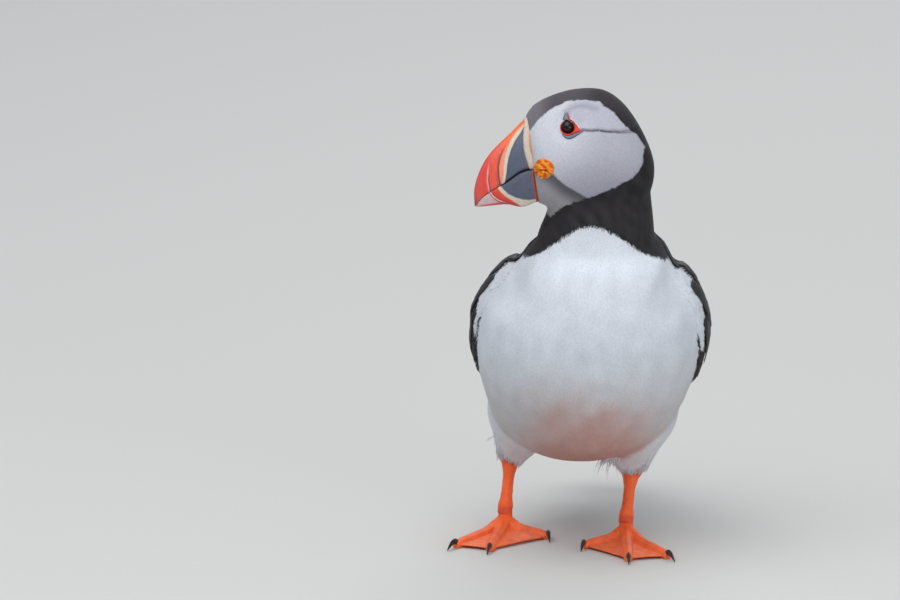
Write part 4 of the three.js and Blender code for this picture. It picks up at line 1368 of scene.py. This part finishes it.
def claw(name, leg, toe, material):
    """A claw curved down from a toe's tip to the ground."""
    line = toe_line(leg, leg["toes"][toe])
    towards = toe_line(leg, leg["toes"]["middle"])
    turn = {"inner": 0.75, "middle": 0.0, "outer": 0.15}[toe]
    heading = unit(line[-1] * (1, 1, 0) - line[3] * (1, 1, 0))
    other = unit(towards[-1] * (1, 1, 0) - towards[3] * (1, 1, 0))
    heading = unit(heading * (1 - turn) + other * turn)
    rows, ring = 26, 20
    t = np.linspace(0, 1, rows)
    reach = -2.2 + 9.6 * t
    high = spline(np.array([[1.9], [2.9], [3.35], [2.9], [1.8], [0.45]]), t)[:, 0]
    mid = line[-1] * (1, 1, 0) + heading * reach[:, None] + np.array([0, 0, 1]) * high[:, None]
    size = 1.55 * (1 - t**1.6) ** 0.75 * (0.75 + 0.25 * smooth(0, 0.25, t)) + 0.12
    way = unit(np.gradient(mid, axis=0))
    side = unit(np.cross(way, (0, 0, 1.0)))
    up = np.cross(side, way)
    a = ring_angles(ring)
    keel = 1 + 0.12 * np.cos(a) ** 9
    belly = np.where(np.cos(a) < 0, 0.82, 1.0)
    points = mid[:, None] + side[:, None] * (0.72 * size[:, None] * np.sin(a))[..., None] + up[:, None] * (
        size[:, None] * np.cos(a) * keel * belly)[..., None]
    points[..., 2] = np.maximum(points[..., 2], 0.02)
    pts, faces = tube(points)
    tone = (0.5 + 0.5 * waves(pts, 1.6, 61))
    c = mix(CLAW_DARK, CLAW_PALE, np.clip(tone, 0, 1))
    return make_object(name, pts, faces, c, material)


# ---------------------------------------------------------------- vanes
VANE_STEPS = np.array([0, 0.14, 0.3, 0.46, 0.62, 0.76, 0.88, 0.96, 1.0])
ROUND = np.array([0.3, 0.68, 0.92, 1.0, 1.0, 0.93, 0.74, 0.46, 0.06])
POINTED = np.array([0.35, 0.75, 0.95, 1.0, 0.94, 0.78, 0.54, 0.3, 0.04])
SQUARE = np.array([0.35, 0.72, 0.9, 0.98, 1.0, 1.0, 0.9, 0.66, 0.1])


def along_surface(tree, p):
    """Points drawn on to the skin, but those well off it only partly; and its normals."""
    loc, n, far = nearest(tree, p.reshape(-1, 3))
    off = p.reshape(-1, 3) - loc
    hold = 1.2 + 5 * smooth(0.2, 1.5, np.abs(sunk(p.reshape(-1, 3))))
    p2 = loc + off * np.clip(1 - hold / np.maximum(far, 1e-6), 0, 1)[:, None]
    return p2.reshape(p.shape), n.reshape(p.shape)


def vanes(name, tree, lines, half, profile, lift, rise, tilt, colours, edge, free, material):
    """Closed feathers along centre lines (count, steps, 3), each half as wide as half says.

    Those with a direction in free are held clear of the skin, facing that way.
    """
    stands = np.abs(free).sum(1) > 0
    mid, n = along_surface(tree, lines)
    n = unit(n + n.mean(1, keepdims=True) * 0.5)
    mid[stands], n[stands] = lines[stands], free[stands][:, None]
    way = unit(np.gradient(mid, axis=1))
    side = unit(np.cross(n, way))
    w = half[:, None] * profile
    place_at = []
    height = lift[:, None] + rise[:, None] * VANE_STEPS
    for c, crown in ((-1, -0.06), (-0.5, 0.16), (0, 0.3), (0.5, 0.16), (1, -0.06)):
        wanted = mid + side * (w * c)[..., None]
        p, pn = along_surface(tree, wanted)
        pn = unit(pn + n)
        p[stands], pn[stands] = wanted[stands], n[stands]
        h = height + crown * np.minimum(1, w / 1.5) + c * tilt[:, None] * np.minimum(1, w / 1.5)
        place_at.append(p + pn * h[..., None])
    under = mid + n * (height - 0.28 * np.minimum(1, w / 1.5))[..., None]
    rings = np.stack([*place_at, under], 2)  # count, steps, 6, 3
    across = np.array([1, 0.55, 0.25, 0.55, 1, 0.8])
    tone = np.clip(across[None] * 0.8 + smooth(0.75, 1.0, VANE_STEPS)[:, None] * 0.6 - 0.35, 0, 1).reshape(-1)
    tone = np.append(tone, (0.2, 1.0))
    rgb = mix(colours[:, None], edge[:, None], tone[None] * np.ones((len(rings), 1))).reshape(-1, 3)
    spread = np.array([-1, -0.5, 0, 0.5, 1, 0]) * 0.0012
    return tubes(name, rings, rgb, rings[:, 0, 2], spread, VANE_STEPS, material)


class Feathers:
    """A growing list of feathers of one kind of place."""

    def __init__(self, rng):
        self.rng = rng
        self.rows = []

    def add(self, line, half, profile, lift, rise, tilt, colour, edge, free=(0, 0, 0)):
        shade = self.rng.uniform(0.85, 1.12)
        colours = (np.array(colour) * shade, np.array(edge) * shade)
        self.rows.append((line, half, profile, lift, rise, tilt, *colours, np.array(free, float)))

    def build(self, name, tree, material):
        columns = [np.array(c) for c in zip(*self.rows)]
        return vanes(name, tree, *columns, material)


BROWN = srgb(92, 80, 76)
COAL = srgb(24, 22, 25)


def wing_line(s0, c0, s1, c1, side, bend=0.0):
    """A feather's line over the wing, from one place on it to another."""
    t = VANE_STEPS
    s = s0 + (s1 - s0) * t
    c = c0 + (c1 - c0) * t + bend * np.sin(np.pi * t)
    return wing_surface(np.clip(s, 0, 1), np.clip(c, 0.015, 0.985), side)[0]


class WingFeathers(Feathers):
    """Feathers that keep off the front of the wing's rim, where the flank's lie over it."""

    def add(self, line, *rest, **more):
        ahead = [facing(p, np.array(self.tree.find_nearest(Vector(p))[1])) for p in line[[1, 4, 7]]]
        if max(ahead) < 0.46 or line[4, 2] > 152:
            super().add(line, *rest, **more)


def wing_feathers(side, rng, tree):
    """A folded wing's flight feathers, with the coverts laid over them."""
    f = WingFeathers(rng)
    f.tree = tree
    jitter = lambda size: rng.uniform(-size, size)
    # primaries, the outermost lowest and longest
    for i in range(10):
        f.add(wing_line(0.26 + 0.015 * i, 0.93 - 0.03 * i, 0.995 - 0.036 * i, 0.62 - 0.035 * i, side, 0.05),
              4.2, POINTED, 0.15 + 0.1 * i, 0.25, 0.12 * side, COAL, BROWN)
    # secondaries
    for i in range(13):
        u = i / 12
        ends = (0.33 - 0.02 * u, 0.86 - 0.68 * u, 0.66 + 0.08 * u, 0.74 - 0.62 * u + jitter(0.01))
        f.add(wing_line(*ends, side, 0.02), 4.4, SQUARE, 0.75 + 0.03 * i, 0.45, 0.32 * side, JET, BROWN)
    # tertials
    for i in range(4):
        f.add(wing_line(0.3, 0.2 - 0.05 * i, 0.78 - 0.05 * i, 0.14 - 0.035 * i, side, 0.02),
              4.4, ROUND, 1.15 + 0.08 * i, 0.5, 0.3 * side, JET, BROWN)
    # primary coverts and alula
    for i in range(6):
        f.add(wing_line(0.17, 0.92 - 0.04 * i, 0.43 - 0.015 * i, 0.91 - 0.05 * i, side),
              3.0, POINTED, 1.0 + 0.06 * i, 0.4, 0.12 * side, COAL, BROWN)
    # greater, median and lesser coverts
    rows = ((0.3, 0.5, 13, 3.5, 1.15), (0.21, 0.37, 14, 3.2, 1.3), (0.14, 0.27, 14, 2.9, 1.35),
            (0.085, 0.185, 13, 2.7, 1.35), (0.045, 0.135, 12, 2.5, 1.3), (0.01, 0.09, 10, 2.3, 1.2),
            (0.0, 0.055, 8, 2.1, 1.1))
    for k, (s0, s1, count, half, lift) in enumerate(rows):
        for i in range(count):
            c = 0.9 - 0.86 * (i + 0.5 * (k % 2)) / (count - 0.5)
            f.add(wing_line(s0 + jitter(0.008), c, s1 + jitter(0.008), c - 0.03 + jitter(0.015), side),
                  half * rng.uniform(1.0, 1.25), ROUND, lift - 0.1, 0.45, 0.1 * side, JET, BROWN * 0.7)
    return f


def mantle_feathers(f, rng):
    """The mantle and scapulars, in staggered rows from the neck to the rump."""
    step, row = 4.6, 0
    edge_at = lambda along: np.interp(along, WING[::-1, 0], WING[::-1, 1])
    place_along = 0.93
    t = VANE_STEPS
    while place_along > 0.38:
        limit = 73 if place_along > 0.82 else min(78, edge_at(place_along) + 16)
        st = spline(WING_BED, place_along)
        across = np.radians(1) * (st[4] + abs(st[0] - st[2]) / 2) / 2 * 1.05
        pitch = step / across
        count = int(limit / pitch)
        for k in range(-count, count + 1):
            d = (k + 0.5 * (row % 2)) * pitch + rng.uniform(-0.25, 0.25) * pitch
            if abs(d) > limit:
                continue
            long = 0.085 + 0.02 * smooth(0.8, 0.5, place_along)
            start = place_along + rng.uniform(-0.012, 0.012)
            spread = d * (1 + 0.06 * t) + rng.uniform(-2, 2) * t
            line = lean(bed(WING_BED, np.clip(start - long * t, 0.0, 1), spread))
            half, lift = 3.7 * rng.uniform(0.9, 1.25), 0.42 + rng.uniform(0, 0.15)
            f.add(line, half, ROUND, lift, 0.4, rng.uniform(-0.15, 0.15), JET, SOOT * 0.6)
        place_along -= 0.032
        row += 1


def rump_feathers(f, rng):
    """The rump's rows, laid across from wing to wing."""
    t = VANE_STEPS
    for row in range(11):
        along = 0.42 - 0.033 * row
        over = np.interp(along, WING[::-1, 0], WING[::-1, 3])
        for k in range(-2, 3):
            d = (k + 0.5 * (row % 2)) * 7.5
            where = np.clip(along - (0.12 + rng.uniform(0, 0.02)) * t, 0.0, 1)
            line = lean(bed(WING_BED, where, d))
            raised = over * (1 - 0.45 * abs(k) / 2) * (1 - 0.5 * t**2) * smooth(0.0, 0.2, where)
            if row < 2:  # the uppermost come out from under the mantle
                raised = raised * smooth(-0.35 - 0.3 * row, 0.75, t)
            line = line + np.array([0, 0.5, 0.85]) * raised[:, None]
            half, tilt = rng.uniform(3.4, 4.4), rng.uniform(-0.3, 0.3)
            f.add(line, half, ROUND, 0.2, 0.75, tilt, JET, SOOT * 0.7, (0, 0.55, 0.83))


def back_feathers(rng):
    f = Feathers(rng)
    mantle_feathers(f, rng)
    rump_feathers(f, rng)
    return f


def tail_feathers(rng):
    """Twelve tail feathers, and the coverts over and under them."""
    f = Feathers(rng)
    t = VANE_STEPS
    for k in range(12):
        u = (k - 5.5) / 5.5
        # on the bed's upper side, the outer ones lower and shorter
        reach = 0.995 - 0.2 * u * u
        line = bed(TAIL, 1 - reach * t, 74 * u * (0.5 + 0.5 * t), 0.85)
        line = line + np.stack([u * 2.0 * t**2, 1.5 * (1 - abs(u)) * t**6, 0 * t], 1)
        f.add(lean(line), 4.2, ROUND, 0.75 - 0.6 * abs(u), 0.15, -0.12 * np.sign(u), COAL, SOOT * 0.6)
    for row in range(5):
        count = 8 - row % 2
        for k in range(count):
            u = (k - (count - 1) / 2) / (count / 2)
            along = 1.04 - 0.11 * row + rng.uniform(-0.03, 0.03)
            for under, colour, edge in ((0, JET, SOOT * 0.7), (180, SNOW * 0.9, SNOW)):
                turn = under + (70 * u + rng.uniform(-5, 5)) * np.ones_like(t)
                line = bed(TAIL, np.clip(along - rng.uniform(0.36, 0.46) * t, 0, 1), turn, 0.85)
                f.add(lean(line), rng.uniform(3.2, 4.2), POINTED, 1.0 - 0.1 * row, 0.3, 0.0, colour, edge)
    return f


def loose(name, roots, ways, outs, lengths, widths, droop, colours, material):
    """Long wisps that stand free at their tips."""
    side = unit(np.cross(ways, outs))
    up = unit(np.cross(side, ways))
    steps = np.array([0, 0.35, 0.7, 1.0])
    size = np.array([0.6, 1.0, 0.7, 0.05])
    mid = roots[:, None] + ways[:, None] * (lengths[:, None] * steps)[..., None]
    mid = mid + np.array([0, 0, -1]) * (droop * lengths[:, None] * steps**2)[..., None]
    w = widths[:, None] * size / 2
    rings = np.stack([
        mid + side[:, None] * w[..., None], mid + up[:, None] * (w * 0.45)[..., None],
        mid - side[:, None] * w[..., None], mid - up[:, None] * (w * 0.45)[..., None]], 2)
    rgb = np.repeat(colours, 4 * len(steps) + 2, axis=0)  # each tube's rings and its two ends
    return tubes(name, rings, rgb, roots, np.array([-1, 0, 1, 0]) * 0.001, steps, material)


def hems(tree, rng, material):
    """Feathers hanging over the ankles, and strays at the flanks and shoulders."""
    roots, ways, outs, lengths, widths, rgb = [], [], [], [], [], []

    def put(p, way, out, long, wide, colour):
        roots.append(p)
        ways.append(unit(np.asarray(way, float)))
        outs.append(unit(np.asarray(out, float)))
        lengths.append(long)
        widths.append(wide)
        rgb.append(np.asarray(colour) * rng.uniform(0.92, 1.05))

    for name, leg in LEGS.items():
        ankle = np.array(leg["ankle"])
        hip = np.array((-27, 10, 68) if name == "right" else (20, 8, 66), float)
        axis = unit(ankle - hip)
        one = unit(np.cross(axis, (0, 1, 0)))
        two = np.cross(axis, one)
        for _ in range(1500):
            a, back = rng.uniform(0, 2 * np.pi), rng.uniform(3, 20)
            out = one * np.cos(a) + two * np.sin(a)
            start = ankle - axis * back + out * (5.2 + 0.42 * back)
            start, n = tree.find_nearest(Vector(start))[:2]
            start, n = np.array(start), np.array(n)
            lock = 0.07 * np.sin(4 * a + leg["ankle"][0]) + 0.04 * np.sin(9 * a)
            way = unit(axis - n * (axis @ n) * 0.9) + out * (lock - 0.05) + rng.normal(0, 0.035, 3)
            way = way + np.array([-0.16 if name == "left" else -0.06, 0, 0]) * smooth(0.2, 1, -out[0])
            long = back * rng.uniform(0.55, 0.8) + rng.uniform(0.8, 2.6) + 8 * max(lock, 0)
            # painted light: the wisps are brighter than the white, against the shade under the belly
            wide, colour = rng.uniform(0.4, 0.75), mix(SNOW * 1.15, CREAM, rng.uniform(0, 0.4))
            put(start + n * 0.1, way, unit(n + out + (0, -0.8, 0.3)), long, wide, colour)
    for spot, way, count, colour in STRAYS:
        for _ in range(count):
            start, n = tree.find_nearest(Vector(np.array(spot) + rng.normal(0, 2.2, 3)))[:2]
            put(np.array(start), np.array(way) + rng.normal(0, 0.16, 3), np.array(n), rng.uniform(4, 8),
                rng.uniform(0.25, 0.45), colour)
    columns = (np.array(c) for c in (roots, ways, outs, lengths, widths))
    return loose("coat_hems", *columns, 0.08, np.array(rgb), material)


# strays: near a place, towards, how many, and their colour
STRAYS = (
    ((54, 14, 131), (0.7, -0.1, -0.5), 5, SOOT),
    ((-46, 6, 133), (-0.8, -0.1, -0.1), 5, SOOT),
    ((-44, 6, 50), (-0.7, 0.1, -0.4), 5, SNOW),
    ((-46, -8, 118), (-0.5, 0.2, -0.9), 14, srgb(120, 114, 116)),
    ((-49, 0, 104), (-0.4, 0.3, -0.9), 14, srgb(104, 98, 100)),
)


# ---------------------------------------------------------------- build
def build_skin(material, legs_material, bare_material):
    body, co, share = body_skin()
    tree, co, tri = tree_of(body)
    n = normals_of(body)
    whole = body.copy()
    for side, _ in SIDES:
        whole = united(whole, leg_skin(side))
    eye_wells(whole)
    o = linked("skin", whole)
    p = points_of(whole) * 1000 - SHIFT
    kd = KDTree(len(co))
    for i, q in enumerate(co.tolist()):
        kd.insert(q, i)
    kd.balance()
    own = np.array([kd.find(q)[1] for q in p.tolist()])
    rgb = markings(p, normals_of(whole), share[own])
    on_leg = np.zeros(len(p), bool)
    for side, _ in SIDES:
        leg = LEGS[side]
        up, off = along_line(p, leg["joint"], leg["ankle"])
        on_leg |= (p[:, 2] < 27) | ((off < 6.1) & (up < 1.35) & (np.linalg.norm(p - co[own], axis=1) > 0.02))
    rgb[on_leg] = leg_colours(p[on_leg])
    paint(whole, "Col", rgb)
    whole.materials.clear()
    whole.materials.append(material)
    whole.materials.append(legs_material)
    index = np.array([on_leg[f.vertices[0]] for f in whole.polygons], np.int32)
    whole.polygons.foreach_set("material_index", index)
    whole.polygons.foreach_set("use_smooth", np.ones(len(whole.polygons), bool))
    add_lids(o, tree, bare_material)
    return o, tree, co, n, tri, share


def add_lids(skin, tree, material):
    """Eyelids and the red line of the brow, made part of the skin with a surface of their own."""
    skin.data.materials.append(material)
    parts = []
    for _, side in SIDES:
        parts.append(eye_lids(side, tree))
        colours = (LID_RED, LID_RED * 0.8)
        parts.append(strip("brow_line", side, tree, BROW_LINE, BROW_LINE_HALF, 0.6, 0.4, *colours))
    bm = bmesh.new()
    bm.from_mesh(skin.data)
    for part in parts:
        start = len(bm.faces)
        bm.from_mesh(part.data)
        bm.faces.ensure_lookup_table()
        for face in bm.faces[start:]:
            face.material_index = 2
        bpy.data.objects.remove(part)
    bm.to_mesh(skin.data)
    bm.free()


ORANGE = srgb(255, 104, 38)
WEB = srgb(240, 116, 68)
RUDDY = srgb(196, 62, 34)


def leg_colours(p):
    """Orange, paler on the webs and ruddy at the joints and across the toes."""
    rgb = np.tile(ORANGE, (len(p), 1))
    for side, _ in SIDES:
        leg = LEGS[side]
        up, off = along_line(p, leg["joint"], leg["ankle"])
        near = smooth(12, 9, off)
        rgb = mix(rgb, RUDDY, near * (smooth(0.14, 0.02, np.abs(up)) + smooth(0.8, 0.95, up)) * 0.6)
        for end in leg["toes"].values():
            line = toe_line(leg, end)
            t, away = along_line(p * (1, 1, 0), line[0] * (1, 1, 0), line[-1] * (1, 1, 0))
            rgb = mix(rgb, RUDDY, smooth(1.0, 0.8, np.abs(t - 0.55) * 12) * smooth(3, 2, away) * 0.35)
    low = smooth(7, 4, p[:, 2])
    rgb = mix(rgb, WEB, low * 0.5)
    return rgb * (1 + 0.06 * waves(p, 7, 41) + 0.04 * waves(p, 2, 42))[:, None]


def done(piece, slot, *nodes):
    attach(piece, "root")
    if nodes:
        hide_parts(*nodes)


def add_side(side_word, side, rng, tree, bill, fleshy, gloss, stiff):
    """The pieces that each side has: rosette, eye, eye plates, claws and wing feathers."""
    done(rosette(side, tree, fleshy), "rosette_skin", f"rosette_{side_word}")
    done(eyeball(side, tree, gloss), "eye_gloss", f"eye_{side_word}")
    for plate, line, half in (("brow", BROW_PLATE, BROW_HALF), ("lower", LOWER_PLATE, LOWER_HALF)):
        horn = f"{plate}_horn_{side_word}"
        o = strip(horn, side, tree, line, half, 0.55, 0.5, PLATE_GREY, PLATE_EDGE, fleshy)
        done(o, "eye_plate", f"{plate}_plate_{side_word}")
    for toe in LEGS[side_word]["toes"]:
        nail = claw(f"nail_{side_word}_{toe}", LEGS[side_word], toe, bill)
        done(nail, "claw_horn", f"claw_{side_word}_{toe}")
    done(wing_feathers(side, rng, tree).build(f"coat_wing_{side_word}", tree, stiff), "black_plumage")


def add_coats(tree, co, n, tri, share, rng, plumage):
    """The tufts of the head, the neck and the underparts."""
    wings = share[:, ON_WINGS].sum(1)
    under = share[:, ON_TRUNK] + share[:, 6] + share[:, 7] + 0.4 * share[:, ON_TAIL] + 0.15 * wings
    under += wings * flank_over_wing(co, n)
    under *= 1 - 0.75 * smooth(0.2, 0.6, n[:, 1]) * (co[:, 2] > 60)
    for name, weight, count, slot in (
        ("coat_face", share[:, ON_HEAD], 33000, "face_plumage"),
        ("coat_crown", share[:, ON_HEAD], 33000, "face_plumage"),
        ("coat_neck", share[:, ON_NECK], 15000, "black_plumage"),
        ("coat_breast", under, 32000, "white_plumage"), ("coat_belly", under, 32000, "white_plumage"),
    ):
        done(coat(name, tree, co, n, tri, share, weight, count, rng, plumage), slot)


def main():
    rng = np.random.default_rng(1025)
    plumage, stiff, legs = plumage_material(), vane_material(), leg_material()
    bill, fleshy = horn_material("bill_horn", 0.34), horn_material("bare_skin", 0.42)
    gloss = horn_material("eye", 0.05, 0.0)
    skin, tree, co, n, tri, share = build_skin(plumage, legs, fleshy)
    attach(skin, "root")
    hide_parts(*FLESH, *LIMBS)
    done(mandible("bill_top", CULMEN, GAPE + (0, 0.06), 0.32, upper_look, bill), "bill_horn", "bill_upper")
    done(mandible("bill_base", GONYS, GAPE - (0, 0.06), 0.7, lower_look, bill), "bill_horn", "bill_lower")
    for side_word, side in SIDES:
        add_side(side_word, side, rng, tree, bill, fleshy, gloss, stiff)
    done(back_feathers(rng).build("coat_back", tree, stiff), "black_plumage")
    done(tail_feathers(rng).build("coat_tail", tree, stiff), "black_plumage")
    done(hems(tree, rng, plumage), "white_plumage")
    add_coats(tree, co, n, tri, share, rng, plumage)


# ---------------------------------------------------------------- stage, lights and camera
def stage():
    bpy.ops.mesh.primitive_plane_add(size=12)
    floor = bpy.context.object
    floor.name = "floor"
    s = Shader("floor", Roughness=0.9, Base_Color=(0.62, 0.61, 0.59, 1))
    floor.data.materials.append(s.m)
    world = bpy.data.worlds.new("studio")
    bpy.context.scene.world = world
    world.use_nodes = True
    world.node_tree.nodes["Background"].inputs["Color"].default_value = (0.86, 0.93, 1.0, 1)
    world.node_tree.nodes["Background"].inputs["Strength"].default_value = 0.5
    for name, at, size, power in (
        ("key", (-0.35, -0.75, 1.7), 1.8, 23.0),
        ("fill", (0.95, -1.25, 0.4), 0.9, 5.5),
        ("back", (0.2, 1.4, 1.3), 1.2, 8.0),
    ):
        light = bpy.data.lights.new(name, "AREA")
        light.energy, light.size = power, size
        o = linked(name, light)
        o.location = at
        o.rotation_euler = (Vector((0, 0, 0.12)) - Vector(at)).to_track_quat("-Z", "Y").to_euler()


def camera(azimuth=5.0, elevation=13.0, per_mm=2.15, lens=500.0):
    """The camera that frames the bird as 900 by 600 pixels at so many pixels to the millimetre."""
    distance = 900 / per_mm / 36 * lens / 1000
    a, e = math.radians(azimuth), math.radians(elevation)
    back = np.array([math.sin(a) * math.cos(e), -math.cos(a) * math.cos(e), math.sin(e)])
    right = np.array([math.cos(a), math.sin(a), 0])
    up = np.cross(back, right)
    # the frame's centre lies this far from the bird's origin, right, up and towards the camera
    aim = right * (450 - 590) / per_mm + up * (546.4 - 300) / per_mm + back * 40
    data = bpy.data.cameras.new("camera")
    data.lens, data.sensor_width = lens, 36
    data.clip_start, data.clip_end = 0.5, 50
    cam = linked("camera", data)
    cam.location = place(aim) + back * distance
    cam.rotation_euler = Vector(-back).to_track_quat("-Z", "Y").to_euler()
    bpy.context.scene.camera = cam
    bpy.context.scene.view_settings.view_transform = "Standard"


main()
stage()
camera()
